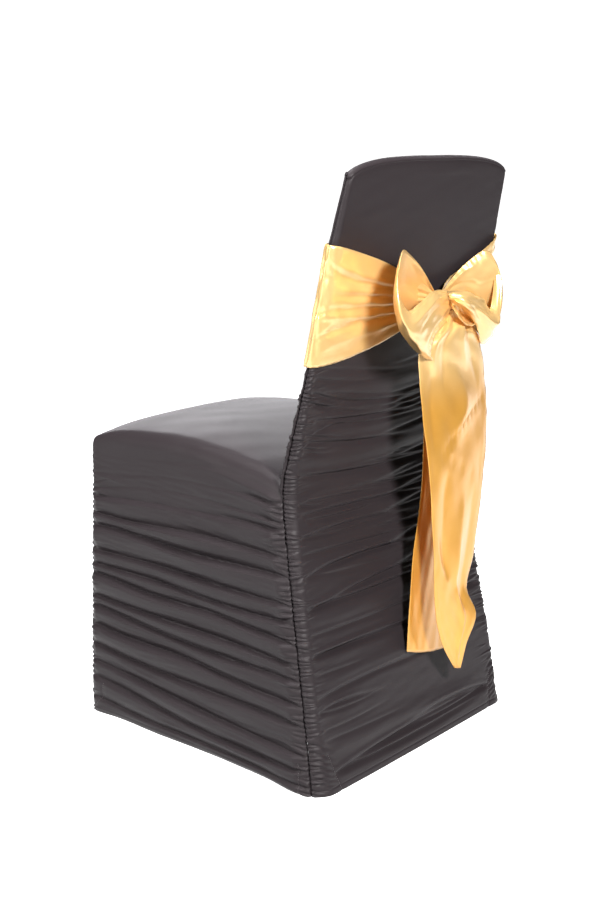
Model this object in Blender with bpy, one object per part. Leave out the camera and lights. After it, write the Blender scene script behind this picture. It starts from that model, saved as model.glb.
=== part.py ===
"""A fitted chair cover with a tied satin sash, modelled as cloth without its chair.

Frame: metres, +Z up.  The sitter faces -Y, the outer back faces +Y, and the
sitter's left is +X.  The origin lies on the floor under the middle of the cover.

Every cloth is a grid of points on its outer face.  Its rows run upwards, and
its columns run to the right as seen from outside.  Neighbouring panels share
the points of their seam, so that their thickness is mitred there, and one of the
two then gives way by the seam's gap.
"""
import bmesh
import bpy
import numpy as np

# ---- Driving sizes, in metres ------------------------------------------------
SHEET = 0.0020              # thickness of the stretch cloth with its turned edges
SATIN = 0.0015              # thickness of the sash's hemmed satin
SEAM_GAP = 0.0006           # how far one cloth gives way to the other at a seam
FRONT_Y = -0.290            # front of the skirt
HEM_FRONT_HALF = 0.226      # half the width at the front feet
SEAT_FRONT_HALF = 0.204     # half the width at the seat's front edge
SEAT_FRONT_Z = 0.462        # height of the seat's front corners
KINK_Z = 0.448              # height at which the rear legs turn into the backrest
REAR_HEM_Y = 0.226          # outer back at the floor
KINK_Y = 0.140              # outer back at the kink
TOP_Y = 0.2415              # outer back at the top
TOP_Z = 0.920               # crown of the backrest
KINK_ROUNDING = 0.012       # how softly the cloth turns at the kink
CORNER_DROP = 0.016         # how much lower the top's corners are than its crown
TOP_FULLNESS = 3.5          # how squarely the top line reaches its corners
TOP_SEAM_DROP = 0.006       # the top seam lies this far under the top line
SIDE_SAG = 0.008            # how far the sides draw in between the feet
SEAT_ROUNDING = 0.026       # rounding of the seat's side edges
INNER_BACK_CROWN = 0.012    # how far the inner back stands forward in its middle
CREST_ROUNDING = 0.006      # rounding of the inner back's top edge
BACK_CROWN = 0.002          # how far the outer back stands out in its middle
POCKET_GAP = 0.0009         # from the cover's inner face to a foot pocket
POCKET_WING = 0.045         # how far a pocket reaches along the front and the back
POCKET_SOLE = 0.016         # how far a pocket reaches in under the foot
FOLD_FADE = 8.0             # how soon the folds start beside a seam
KEENEST_CORNER = 0.45       # squared mean normal of the sharpest corner that keeps its thickness
WALL_ORDER = (0.31, 0.52, 0.79)       # direction along which a seam's walls are ordered

COVER_COLOUR = (0.060, 0.052, 0.056, 1.0)
POCKET_COLOUR = (0.045, 0.040, 0.043, 1.0)
SASH_COLOUR = (0.86, 0.52, 0.13, 1.0)

# The outer back: half its width, how far its cloth wraps round the side to the
# seam, the depth of the leg or backrest under it, and the rounding of the inner
# back's side edges.
BACK_EDGE = (
    # height, half width, wrap, depth, inner rounding
    (0.000, 0.2420, 0.0190, 0.0340, 0.010),
    (0.448, 0.2130, 0.0180, 0.0340, 0.010),
    (0.500, 0.2118, 0.0140, 0.0220, 0.005),
    (0.620, 0.2091, 0.0080, 0.0130, 0.003),
    (0.800, 0.2050, 0.0110, 0.0155, 0.003),
    (0.920, 0.1950, 0.0085, 0.0130, 0.003),
)

# The valleys between the skirt's folds, from the hem to the seat's edge: their
# heights at five places, and how far the fold above each stands out.
SKIRT_FOLDS = (
    # front corner, side middle, rear corner, back middle, front middle, side out, back out
    (0.000, 0.000, 0.000, 0.000, 0.000, 0.0030, 0.0020),
    (0.030, 0.036, 0.032, 0.033, 0.034, 0.0050, 0.0030),
    (0.064, 0.068, 0.060, 0.070, 0.066, 0.0060, 0.0025),
    (0.092, 0.103, 0.101, 0.105, 0.098, 0.0045, 0.0030),
    (0.123, 0.139, 0.132, 0.144, 0.131, 0.0055, 0.0035),
    (0.154, 0.171, 0.167, 0.185, 0.162, 0.0045, 0.0025),
    (0.188, 0.200, 0.195, 0.206, 0.195, 0.0060, 0.0035),
    (0.225, 0.228, 0.225, 0.229, 0.230, 0.0050, 0.0040),
    (0.259, 0.251, 0.253, 0.258, 0.255, 0.0045, 0.0025),
    (0.281, 0.278, 0.280, 0.277, 0.284, 0.0065, 0.0040),
    (0.322, 0.317, 0.318, 0.310, 0.315, 0.0050, 0.0040),
    (0.345, 0.347, 0.350, 0.345, 0.350, 0.0055, 0.0035),
    (0.382, 0.388, 0.381, 0.379, 0.385, 0.0025, 0.0040),
    (0.425, 0.428, 0.412, 0.412, 0.428, 0.0015, 0.0030),
    (0.462, 0.480, 0.446, 0.450, 0.480, 0.0000, 0.0030),
)
FRONT_CORNER, SIDE_MIDDLE, REAR_CORNER, BACK_MIDDLE, FRONT_MIDDLE, SIDE_OUT, BACK_OUT = range(7)

# The same on the outer back above the seat, up to the smooth cloth of the sash.
BACK_FOLDS = (
    # at the seam, in the middle, out
    (0.480, 0.486, 0.0030),
    (0.502, 0.505, 0.0020),
    (0.527, 0.524, 0.0030),
    (0.553, 0.548, 0.0030),
    (0.578, 0.566, 0.0025),
    (0.605, 0.598, 0.0015),
    (0.632, 0.622, 0.0000),
)
SMOOTH_SEAM_HEIGHTS = (0.700, 0.770, 0.840, 0.885)

# A fold climbs slowly from its lower valley and turns in sharply under the next:
# share of its height, share of how far it stands out.
FOLD_PROFILE = ((0.0, 0.0), (0.36, 0.60), (0.74, 1.0))

ALONG_SIDE = (0.0, 0.1, 0.3, 0.5, 0.7, 0.9, 1.0)      # front to rear

# Columns from the left seam to the middle, on the seat and the front skirt, and
# on the inner and the outer back.
SEAT_COLUMNS = (
    # share of the half width, share of the way round the corner
    (1.00, 1.0),
    (0.98, 0.3),
    (0.90, 0.0),
    (0.50, 0.0),
    (0.00, 0.0),
)
BACK_COLUMNS = (
    # share of the half width, share of the way round the corner
    (1.00, 1.0),
    (1.00, 0.3),
    (0.96, 0.0),
    (0.50, 0.0),
    (0.00, 0.0),
)

SEAT_CROWN = (0.018, 0.013, 0.017)    # middle line over the side edges: front, middle, rear
SEAT_FULLNESS = 3.5                   # how squarely the seat's crown reaches its side edges

# ---- The tied sash -----------------------------------------------------------
KNOT_CENTRE = (-0.030, 0.238, 0.706)
KNOT_RADII = (0.019, 0.026, 0.022)
KNOT_LEAN = 0.35            # radians by which the knot leans to its right

# The band on one side of the knot, as it goes round the backrest.
BAND = (
    # share of the way to the side, share of the depth, off x, off y, top, bottom, pleat
    (0.02, 0.0, 0.0000, 0.0290, 0.715, 0.697, 0.0000),
    (0.14, 0.0, 0.0000, 0.0190, 0.735, 0.680, 0.0022),
    (0.29, 0.0, 0.0000, 0.0100, 0.752, 0.660, 0.0030),
    (0.52, 0.0, 0.0000, 0.0060, 0.772, 0.645, 0.0020),
    (0.76, 0.0, 0.0000, 0.0052, 0.788, 0.635, 0.0010),
    (0.97, 0.0, 0.0000, 0.0048, 0.800, 0.631, 0.0000),
    (1.00, 0.2, 0.0040, 0.0000, 0.802, 0.631, 0.0000),
    (1.00, 0.7, 0.0036, 0.0000, 0.803, 0.631, 0.0000),
    (0.97, 1.0, 0.0000, -0.0045, 0.804, 0.632, 0.0000),
    (0.55, 1.0, 0.0000, -0.0065, 0.803, 0.633, 0.0000),
)
BAND_COLUMNS = 5

# Loops and tails: each row is a line across the strip, between its two hems.
LEFT_LOOP = (
    # place, upper hem, middle, lower hem
    ("knot, back", (-0.028, 0.224, 0.716), (-0.033, 0.222, 0.706), (-0.038, 0.224, 0.696)),
    ("back, near", (0.018, 0.230, 0.757), (-0.022, 0.209, 0.699), (-0.064, 0.207, 0.648)),
    ("back, far", (0.083, 0.252, 0.785), (0.038, 0.222, 0.698), (-0.055, 0.214, 0.630)),
    ("turn", (0.131, 0.274, 0.791), (0.113, 0.256, 0.690), (-0.018, 0.236, 0.616)),
    ("front, far", (0.160, 0.288, 0.748), (0.142, 0.292, 0.682), (0.032, 0.262, 0.628)),
    ("front, middle", (0.135, 0.287, 0.713), (0.129, 0.299, 0.682), (0.058, 0.275, 0.646)),
    ("front, near", (0.090, 0.280, 0.720), (0.088, 0.291, 0.700), (0.040, 0.272, 0.671)),
    ("knot, front", (-0.008, 0.255, 0.726), (-0.003, 0.263, 0.713), (-0.025, 0.251, 0.691)),
)
RIGHT_LOOP = (
    ("knot, back", (-0.036, 0.224, 0.715), (-0.040, 0.222, 0.705), (-0.040, 0.224, 0.696)),
    ("back, near", (-0.080, 0.233, 0.753), (-0.092, 0.235, 0.714), (-0.132, 0.221, 0.658)),
    ("back, far", (-0.117, 0.251, 0.777), (-0.139, 0.264, 0.725), (-0.162, 0.244, 0.648)),
    ("turn", (-0.134, 0.257, 0.759), (-0.136, 0.272, 0.698), (-0.134, 0.249, 0.636)),
    ("front, far", (-0.114, 0.265, 0.692), (-0.109, 0.278, 0.668), (-0.102, 0.257, 0.637)),
    ("front, middle", (-0.072, 0.277, 0.710), (-0.055, 0.284, 0.690), (-0.069, 0.271, 0.665)),
    ("front, near", (-0.029, 0.276, 0.724), (-0.007, 0.291, 0.711), (-0.042, 0.272, 0.689)),
    ("knot, front", (-0.009, 0.256, 0.725), (0.000, 0.266, 0.715), (-0.023, 0.254, 0.703)),
)
FRONT_TAIL = (
    # place, left hem, middle, right hem
    ("knot", (-0.024, 0.248, 0.697), (-0.031, 0.250, 0.696), (-0.039, 0.248, 0.695)),
    ("opening", (0.020, 0.256, 0.672), (-0.015, 0.270, 0.672), (-0.080, 0.258, 0.665)),
    ("widest", (0.058, 0.256, 0.649), (-0.002, 0.269, 0.645), (-0.103, 0.256, 0.634)),
    ("high", (0.052, 0.252, 0.600), (-0.024, 0.260, 0.588), (-0.130, 0.250, 0.568)),
    ("middle", (0.036, 0.250, 0.526), (-0.038, 0.256, 0.516), (-0.140, 0.246, 0.502)),
    ("low middle", (0.016, 0.248, 0.440), (-0.048, 0.252, 0.430), (-0.136, 0.244, 0.416)),
    ("low", (-0.002, 0.245, 0.325), (-0.048, 0.248, 0.316), (-0.118, 0.242, 0.300)),
    ("waist", (-0.009, 0.243, 0.262), (-0.050, 0.248, 0.255), (-0.098, 0.244, 0.249)),
    ("elbow", (-0.020, 0.241, 0.213), (-0.062, 0.249, 0.207), (-0.109, 0.256, 0.206)),
    ("gathered end", (-0.041, 0.240, 0.166), (-0.066, 0.246, 0.163), (-0.091, 0.252, 0.162)),
    ("tip", (-0.074, 0.240, 0.121), (-0.080, 0.242, 0.119), (-0.086, 0.244, 0.118)),
)
BACK_TAIL = (
    # place, left hem, middle, right hem
    ("knot", (-0.026, 0.232, 0.698), (-0.033, 0.232, 0.697), (-0.040, 0.232, 0.697)),
    ("opening", (-0.018, 0.230, 0.642), (-0.050, 0.232, 0.639), (-0.084, 0.230, 0.634)),
    ("high", (0.000, 0.228, 0.561), (-0.044, 0.230, 0.556), (-0.094, 0.228, 0.547)),
    ("middle", (0.000, 0.226, 0.422), (-0.045, 0.229, 0.413), (-0.097, 0.226, 0.402)),
    ("low", (0.018, 0.224, 0.300), (-0.040, 0.227, 0.290), (-0.100, 0.224, 0.278)),
    ("end", (0.028, 0.223, 0.159), (-0.030, 0.227, 0.143), (-0.092, 0.226, 0.137)),
)
# Name, rows, points per row of the table, columns across the strip.
STRIPS = (
    ("left_loop", LEFT_LOOP, 2, 6),
    ("right_loop", RIGHT_LOOP, 2, 6),
    ("front_tail", FRONT_TAIL, 1, 5),
    ("back_tail", BACK_TAIL, 2, 4),
)


# ---- The chair's form under the cloth ----------------------------------------
def read(table, place, column):
    """A column of a table, read between its rows; the first column is the place."""
    rows = np.array(table)
    return float(np.interp(place, rows[:, 0], rows[:, column]))


def half_width(z):
    return read(BACK_EDGE, z, 1)


def wrap_depth(z):
    return read(BACK_EDGE, z, 2)


def rest_depth(z):
    return read(BACK_EDGE, z, 3)


def inner_rounding(z):
    return read(BACK_EDGE, z, 4)


def back_y(z):
    """The outer back's plane: rear legs raked one way, the backrest the other."""
    leg = REAR_HEM_Y + (KINK_Y - REAR_HEM_Y) * z / KINK_Z
    rest = KINK_Y + (TOP_Y - KINK_Y) * (z - KINK_Z) / (TOP_Z - KINK_Z)
    return 0.5 * (leg + rest + np.hypot(leg - rest, KINK_ROUNDING))


def seam_y(z):
    """The seams up both sides lie a little in front of the outer back."""
    return back_y(z) - wrap_depth(z)


def inner_y(z, share):
    """The inner back's face, fuller in the middle than at its sides."""
    return back_y(z) - rest_depth(z) - INNER_BACK_CROWN * (1.0 - share * share)


def top_z(share):
    """The top line of the backrest, lower at its corners."""
    return TOP_Z - CORNER_DROP * share ** TOP_FULLNESS


def through(values, place):
    """A soft curve through three values at places 0, 1/2 and 1."""
    first, middle, last = values
    return (
        first * (1 - place) * (1 - 2 * place)
        + middle * 4 * place * (1 - place)
        + last * place * (2 * place - 1)
    )


def fade(place):
    """Folds run out to nothing at the seams, places 0 and 1."""
    return min(1.0, FOLD_FADE * place * (1.0 - place))


def symmetric(line):
    """A line from the left edge to the middle, continued to the right edge."""
    mirrored = [point * (-1, 1, 1) for point in reversed(line[:-1])]
    return line + mirrored


def fold_rows(valleys, out_column):
    """Rows of a panel between its valleys: the table's row at that share, and its out."""
    table = np.array(valleys)
    rows = []
    for below, above in zip(table[:-1], table[1:]):
        for share, out in FOLD_PROFILE:
            rows.append((below + (above - below) * share, out * below[out_column]))
    rows.append((table[-1], 0.0))
    return rows


# ---- Outer faces of the cover's panels ---------------------------------------
def side_point(heights, out, place):
    """A point of the left side; place runs from the front corner to the rear seam."""
    z = through(heights[[FRONT_CORNER, SIDE_MIDDLE, REAR_CORNER]], place)
    front_half = HEM_FRONT_HALF + (SEAT_FRONT_HALF - HEM_FRONT_HALF) * z / SEAT_FRONT_Z
    x = front_half + (half_width(z) - front_half) * place - SIDE_SAG * np.sin(np.pi * place)
    y = FRONT_Y + (seam_y(z) - FRONT_Y) * place
    edge = through(np.array(SKIRT_FOLDS[-1])[[FRONT_CORNER, SIDE_MIDDLE, REAR_CORNER]], place)
    rise = max(0.0, 1.0 - (edge - z) / SEAT_ROUNDING)
    x += out * fade(place) - 0.5 * SEAT_ROUNDING * fade(place) * rise * rise
    return np.array((x, y, z))


def seat_point(column, place):
    """A point of the seat's top; its rear edge follows the inner back."""
    share, corner = column
    edge = side_point(np.array(SKIRT_FOLDS[-1]), 0.0, place)
    z = edge[2] + through(SEAT_CROWN, place) * (1.0 - share ** SEAT_FULLNESS)
    y = edge[1]
    if corner < 1.0:
        y += (inner_y(z, share) + inner_rounding(z) * (corner > 0.0) - seam_y(z)) * place
    return np.array((edge[0] * share, y, z))


def saddle_grid():
    """Seat and both sides: from the left hem over the seat to the right hem."""
    folds = fold_rows(SKIRT_FOLDS, SIDE_OUT)[:-1]
    left = [[side_point(heights, out, place) for place in ALONG_SIDE] for heights, out in folds]
    seat = [[seat_point(column, place) for place in ALONG_SIDE] for column in SEAT_COLUMNS]
    return np.array(symmetric([np.array(row) for row in left + seat]))


def front_skirt_grid():
    """The front, from the hem to the seat's edge."""
    grid = []
    for heights, out in fold_rows(SKIRT_FOLDS, SIDE_OUT)[:-1]:
        corner = side_point(heights, 0.0, 0.0)
        line = []
        for share, _ in SEAT_COLUMNS:
            place = 0.5 * (1.0 + share)
            z = through(heights[[FRONT_CORNER, FRONT_MIDDLE, FRONT_CORNER]], place)
            line.append(np.array((corner[0] * share, FRONT_Y - out * fade(place), z)))
        grid.append(symmetric(line)[::-1])
    grid.append(symmetric([seat_point(column, 0.0) for column in SEAT_COLUMNS])[::-1])
    return np.array(grid)


def seam_rows():
    """Rows of the outer back: height at the seams, height in the middle, out."""
    rows = [
        (heights[REAR_CORNER], heights[BACK_MIDDLE], out)
        for heights, out in fold_rows(SKIRT_FOLDS, BACK_OUT)[:-1]
    ]
    seat = [SKIRT_FOLDS[-1][column] for column in (REAR_CORNER, BACK_MIDDLE, BACK_OUT)]
    rows += [(heights[0], heights[1], out) for heights, out in fold_rows((seat, *BACK_FOLDS), 2)]
    start_seam, start_middle = rows[-1][:2]
    end_seam, end_middle = (top_z(share) - TOP_SEAM_DROP for share in (1.0, 0.0))
    for seam in SMOOTH_SEAM_HEIGHTS + (end_seam,):
        rise = (seam - start_seam) / (end_seam - start_seam)
        rows.append((seam, start_middle + (end_middle - start_middle) * rise, 0.0))
    return rows


def back_line(seam, middle, out):
    """One row of the outer back, wrapped round both corners to the seams."""
    line = []
    for share, corner in BACK_COLUMNS:
        z = middle + (seam - middle) * share ** TOP_FULLNESS
        y = back_y(z) - corner * wrap_depth(z)
        y += (BACK_CROWN + out) * fade(0.5 * (1.0 + share))
        line.append(np.array((half_width(z) * share, y, z)))
    return symmetric(line)


def back_grid():
    """The outer back, from the hem to the top seam."""
    return np.array([back_line(*row) for row in seam_rows()])


def inner_back_line(seam, rise):
    """One row of the inner back between the seat and the top's rounding."""
    line = [np.array((half_width(seam), seam_y(seam), seam))]
    for (share, corner), foot in zip(BACK_COLUMNS[1:], SEAT_COLUMNS[1:]):
        low = seat_point(foot, 1.0)[2]
        z = low + (top_z(share) - CREST_ROUNDING - low) * rise
        y = inner_y(z, share) + inner_rounding(z) * (corner > 0.0)
        line.append(np.array((half_width(z) * share, y, z)))
    return symmetric(line)


def inner_back_grid():
    """The inner back, from the seat over the top line to the top seam."""
    first = len(fold_rows(SKIRT_FOLDS, BACK_OUT)) - 1
    rows = seam_rows()[first:]
    grid = [symmetric([seat_point(column, 1.0) for column in SEAT_COLUMNS])]
    for seam, _, _ in rows[1:-2]:
        grid.append(inner_back_line(seam, (seam - rows[0][0]) / (rows[-3][0] - rows[0][0])))
    seam = rows[-2][0]
    crest = [np.array((half_width(seam), seam_y(seam), seam))]
    for share, _ in BACK_COLUMNS[1:]:
        z = top_z(share)
        crest.append(np.array((half_width(z) * share, back_y(z) - 0.5 * rest_depth(z), z)))
    grid.append(symmetric(crest))
    grid.append(back_line(*rows[-1]))
    return np.array([line[::-1] for line in grid])


# ---- Cloth with a thickness --------------------------------------------------
def unit(vectors):
    return vectors / np.linalg.norm(vectors, axis=-1, keepdims=True)


def cell_normals(grid):
    """Unit normals of a grid's cells, towards the side it is seen from."""
    rising = grid[1:, 1:] - grid[:-1, :-1]
    falling = grid[1:, :-1] - grid[:-1, 1:]
    return unit(np.cross(rising, falling))


def seam_key(point):
    """The same key for the points of two panels that lie on each other."""
    return tuple(np.round(point, 5))


def gather_normals(grids):
    """The sum and the number of cell normals at every point of the grids."""
    gathered = {}
    for grid in grids:
        cells = cell_normals(grid)
        for i, j in np.ndindex(cells.shape[:2]):
            for point in grid[i:i + 2, j:j + 2].reshape(-1, 3):
                gathered.setdefault(seam_key(point), np.zeros(4))[:] += (*cells[i, j], 1.0)
    return gathered


def inner_face(grid, thickness, gathered):
    """The grid's inner face; at a corner it keeps the thickness of both cells."""
    inner = np.empty_like(grid)
    for i, j in np.ndindex(grid.shape[:2]):
        total = gathered[seam_key(grid[i, j])]
        mean = total[:3] / total[3]
        inner[i, j] = grid[i, j] - thickness * mean / max(mean @ mean, KEENEST_CORNER)
    return inner


def give_way(grid, edges):
    """Draw some of a grid's edges in, square to their seams, to open the gap."""
    result = grid.copy()
    for axis, edge, beside in edges:
        line = np.moveaxis(result, axis, 0)
        along = unit(np.gradient(line[edge], axis=0))
        way = line[beside] - line[edge]
        way -= along * np.sum(way * along, axis=-1, keepdims=True)
        line[edge] += SEAM_GAP * unit(way)
    return result


def rim_places(rows, columns):
    """The places round the edge of a grid, in order."""
    rim = [(i, 0) for i in range(rows)] + [(rows - 1, j) for j in range(1, columns)]
    rim += [(i, columns - 1) for i in range(rows - 2, -1, -1)]
    return rim + [(0, j) for j in range(columns - 2, 0, -1)]


def sheet_faces(outer):
    """Faces of a closed sheet whose outer grid is followed by its inner grid.

    The walls along a seam are cut into triangles by their place in space, so
    that the walls of both panels match.
    """
    rows, columns = outer.shape[:2]
    number = np.arange(2 * rows * columns).reshape(2, rows, columns)
    faces = []
    for layer in number:
        for i, j in np.ndindex(rows - 1, columns - 1):
            faces.append((layer[i, j], layer[i, j + 1], layer[i + 1, j + 1], layer[i + 1, j]))
    rim = rim_places(rows, columns)
    for pair in zip(rim, rim[1:] + rim[:1]):
        low, high = sorted(pair, key=lambda place: float(outer[place] @ WALL_ORDER))
        faces.append((number[0][low], number[0][high], number[1][high]))
        faces.append((number[0][low], number[1][high], number[1][low]))
    return [tuple(int(index) for index in face) for face in faces]


def cloth(name, outer, inner):
    """A closed sheet between two grids, with its faces outward."""
    mesh = bpy.data.meshes.new(name)
    points = np.concatenate((outer.reshape(-1, 3), inner.reshape(-1, 3)))
    mesh.from_pydata(points.tolist(), [], sheet_faces(outer))
    work = bmesh.new()
    work.from_mesh(mesh)
    bmesh.ops.recalc_face_normals(work, faces=work.faces)
    bmesh.ops.triangulate(work, faces=work.faces, quad_method="SHORT_EDGE")
    work.to_mesh(mesh)
    work.free()
    obj = bpy.data.objects.new(name, mesh)
    bpy.context.scene.collection.objects.link(obj)
    return obj


def dress(obj, colour, roughness):
    """Give an object its own plain material and a smooth look."""
    material = bpy.data.materials.new(obj.name)
    material.use_nodes = True
    shader = material.node_tree.nodes["Principled BSDF"]
    shader.inputs["Base Color"].default_value = colour
    shader.inputs["Roughness"].default_value = roughness
    shader.inputs["Metallic"].default_value = 0.0
    obj.data.materials.clear()
    obj.data.materials.append(material)
    obj.data.shade_smooth()


# ---- Cover -------------------------------------------------------------------
# Edges of a grid: its axis, the edge's own line, the line beside it.
BOTTOM_EDGE, TOP_EDGE = (0, 0, 1), (0, -1, -2)
LEFT_EDGE, RIGHT_EDGE = (1, 0, 1), (1, -1, -2)
# Name, outer face, the edges that give way.
PANELS = (
    ("saddle_panel", saddle_grid, ()),
    ("front_skirt", front_skirt_grid, (TOP_EDGE, LEFT_EDGE, RIGHT_EDGE)),
    ("back_panel", back_grid, (TOP_EDGE, LEFT_EDGE, RIGHT_EDGE)),
    ("inner_back_panel", inner_back_grid, (BOTTOM_EDGE,)),
)


def make_cover():
    outers = [panel() for _, panel, _ in PANELS]
    gathered = gather_normals(outers)
    for (name, _, giving), outer in zip(PANELS, outers):
        inner = inner_face(outer, SHEET, gathered)
        faces = [give_way(face, giving) for face in (outer, inner)]
        for face in faces:
            face[..., 2] = np.maximum(face[..., 2], 0.0)
        dress(cloth(name, *faces), COVER_COLOUR, 0.6)


# ---- Foot pockets ------------------------------------------------------------
def pocket_grid(wing, corner, toward, inward):
    """A pocket's outer face round one corner, from its sole to its upper edge.

    Wing and corner are columns of points on the cover, toward is the way from
    the corner to the middle, and inward the ways from both walls to the inside.
    """
    end = corner + toward * POCKET_WING
    columns = [wing, 0.5 * (wing + corner), corner, 0.5 * (corner + end), end]
    side_way, end_way = inward
    ways = [side_way, side_way, side_way + end_way, end_way, end_way]
    walls = [column + way * (SHEET + POCKET_GAP) for column, way in zip(columns, ways)]
    sole = [wall[0] + way * POCKET_SOLE for wall, way in zip(walls, ways)]
    return np.array([sole] + [list(row) for row in zip(*walls)])


def make_pockets():
    """Four cups of cloth inside the hem, which hold it to the feet."""
    side, back = saddle_grid(), back_grid()
    valleys = [0, len(FOLD_PROFILE), 2 * len(FOLD_PROFILE)]
    sideways, rearward = np.array((-1.0, 0.0, 0.0)), np.array((0.0, 1.0, 0.0))
    corners = (
        ("front", side[valleys, 1], side[valleys, 0], rearward),
        ("rear", side[valleys, -2], back[valleys, 1], -rearward),
    )
    for place, wing, corner, inward in corners:
        left = pocket_grid(wing, corner, sideways, (sideways, inward))
        if place == "front":
            left = left[:, ::-1]
        for side_name, outer in (("left", left), ("right", left[:, ::-1] * (-1, 1, 1))):
            inner = inner_face(outer, SHEET, gather_normals([outer]))
            pocket = cloth(f"foot_pocket_{place}_{side_name}", outer, inner)
            dress(pocket, POCKET_COLOUR, 0.7)


# ---- Sash --------------------------------------------------------------------
def smooth_rows(rows, steps):
    """A smooth curve through the rows of a table, with steps points to a row."""
    rows = np.array(rows, dtype=float)
    padded = np.concatenate(([2 * rows[0] - rows[1]], rows, [2 * rows[-1] - rows[-2]]))
    curve = []
    for before, start, end, after in zip(padded, padded[1:], padded[2:], padded[3:]):
        for step in range(steps):
            t = step / steps
            curve.append(
                start
                + 0.5 * (end - before) * t
                + (before - 2.5 * start + 2 * end - 0.5 * after) * t * t
                + 0.5 * (after - before + 3 * (start - end)) * t ** 3
            )
    curve.append(rows[-1])
    return np.array(curve)


def strip_grid(table, steps, columns):
    """A strip of satin through the rows of its table."""
    curve = smooth_rows([row[1:] for row in table], steps)
    places = np.linspace(0.0, 1.0, columns)
    return np.array([[through(line, place) for place in places] for line in curve])


def band_grid():
    """The band, from the knot round the backrest and back to the knot."""
    halves = []
    for side in (1, -1):
        rows = []
        for share, depth, off_x, off_y, top, bottom, pleat in BAND:
            line = []
            for number, height in enumerate(np.linspace(bottom, top, BAND_COLUMNS)):
                edge = half_width(height) + off_x
                x = KNOT_CENTRE[0] + (side * edge - KNOT_CENTRE[0]) * share
                y = back_y(height) - depth * rest_depth(height) + off_y
                if depth == 1.0:
                    y -= INNER_BACK_CROWN * (1.0 - share * share)
                line.append((x, y + pleat * (-1) ** number, height))
            rows.append(line)
        halves.append(rows)
    return np.array(halves[0] + halves[1][::-1])


def make_knot():
    """The knot's round bulk, which leans to its right."""
    mesh = bpy.data.meshes.new("sash")
    work = bmesh.new()
    bmesh.ops.create_uvsphere(work, u_segments=10, v_segments=7, radius=1.0)
    bmesh.ops.scale(work, vec=KNOT_RADII, verts=work.verts)
    turn = np.array(
        (
            (np.cos(KNOT_LEAN), 0.0, -np.sin(KNOT_LEAN)),
            (0.0, 1.0, 0.0),
            (np.sin(KNOT_LEAN), 0.0, np.cos(KNOT_LEAN)),
        )
    )
    for vertex in work.verts:
        vertex.co = (turn @ np.array(vertex.co) + KNOT_CENTRE).tolist()
    work.to_mesh(mesh)
    work.free()
    knot = bpy.data.objects.new("sash", mesh)
    bpy.context.scene.collection.objects.link(knot)
    return knot


def satin(name, grid):
    """A closed sheet of satin, with its thickness to both sides of the grid."""
    gathered = gather_normals([grid])
    outer = inner_face(grid, -0.5 * SATIN, gathered)
    return cloth(name, outer, inner_face(grid, 0.5 * SATIN, gathered))


def make_sash():
    """One strip of satin: band, loops and tails, joined where they meet in the knot."""
    knot = make_knot()
    parts = [satin("sash_band", band_grid())]
    parts += [satin(name, strip_grid(table, steps, count)) for name, table, steps, count in STRIPS]
    for part in parts:
        part.hide_render = True
        part.display_type = "WIRE"
        union = knot.modifiers.new(part.name, "BOOLEAN")
        union.operation = "UNION"
        union.solver = "EXACT"
        union.object = part
    dress(knot, SASH_COLOUR, 0.3)


def main():
    for obj in list(bpy.data.objects):
        bpy.data.objects.remove(obj)
    make_cover()
    make_pockets()
    make_sash()


main()
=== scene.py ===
"""A fitted stretch chair cover with a tied satin sash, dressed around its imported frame.

Every cloth is a grid of points on its outer face.  Its rows run upwards, and its
columns run to the right as seen from outside.  Folds, gathers and creases are
heights over that face.  Sizes are in metres, and tables in millimetres.
"""
import math

import bpy
import numpy as np
from bpy.props import FloatProperty, FloatVectorProperty, PointerProperty
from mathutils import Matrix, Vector


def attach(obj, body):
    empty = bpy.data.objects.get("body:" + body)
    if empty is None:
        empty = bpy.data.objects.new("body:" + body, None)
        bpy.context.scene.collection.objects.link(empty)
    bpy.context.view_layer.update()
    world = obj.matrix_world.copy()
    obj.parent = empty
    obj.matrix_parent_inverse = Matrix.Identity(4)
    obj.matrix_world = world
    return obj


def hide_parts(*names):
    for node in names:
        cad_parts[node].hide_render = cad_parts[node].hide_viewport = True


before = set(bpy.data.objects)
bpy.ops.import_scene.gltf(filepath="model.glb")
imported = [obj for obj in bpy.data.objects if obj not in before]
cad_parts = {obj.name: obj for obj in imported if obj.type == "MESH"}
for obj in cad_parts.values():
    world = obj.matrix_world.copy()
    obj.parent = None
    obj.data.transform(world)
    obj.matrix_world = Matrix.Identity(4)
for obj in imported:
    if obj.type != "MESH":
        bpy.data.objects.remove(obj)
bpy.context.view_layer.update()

bl_info = {
    "name": "Chair cover with sash",
    "version": (1, 0, 0),
    "blender": (4, 5, 0),
    "location": "View3D > Sidebar > Chair cover",
    "description": "Makes a gathered stretch chair cover with a tied satin sash",
    "category": "Add Mesh",
}


def metres(rows, shares=0):
    """A table's rows in metres; the first of their columns may be shares."""
    return tuple((*row[:shares], *(each / 1000 for each in row[shares:])) for row in rows)


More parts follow.
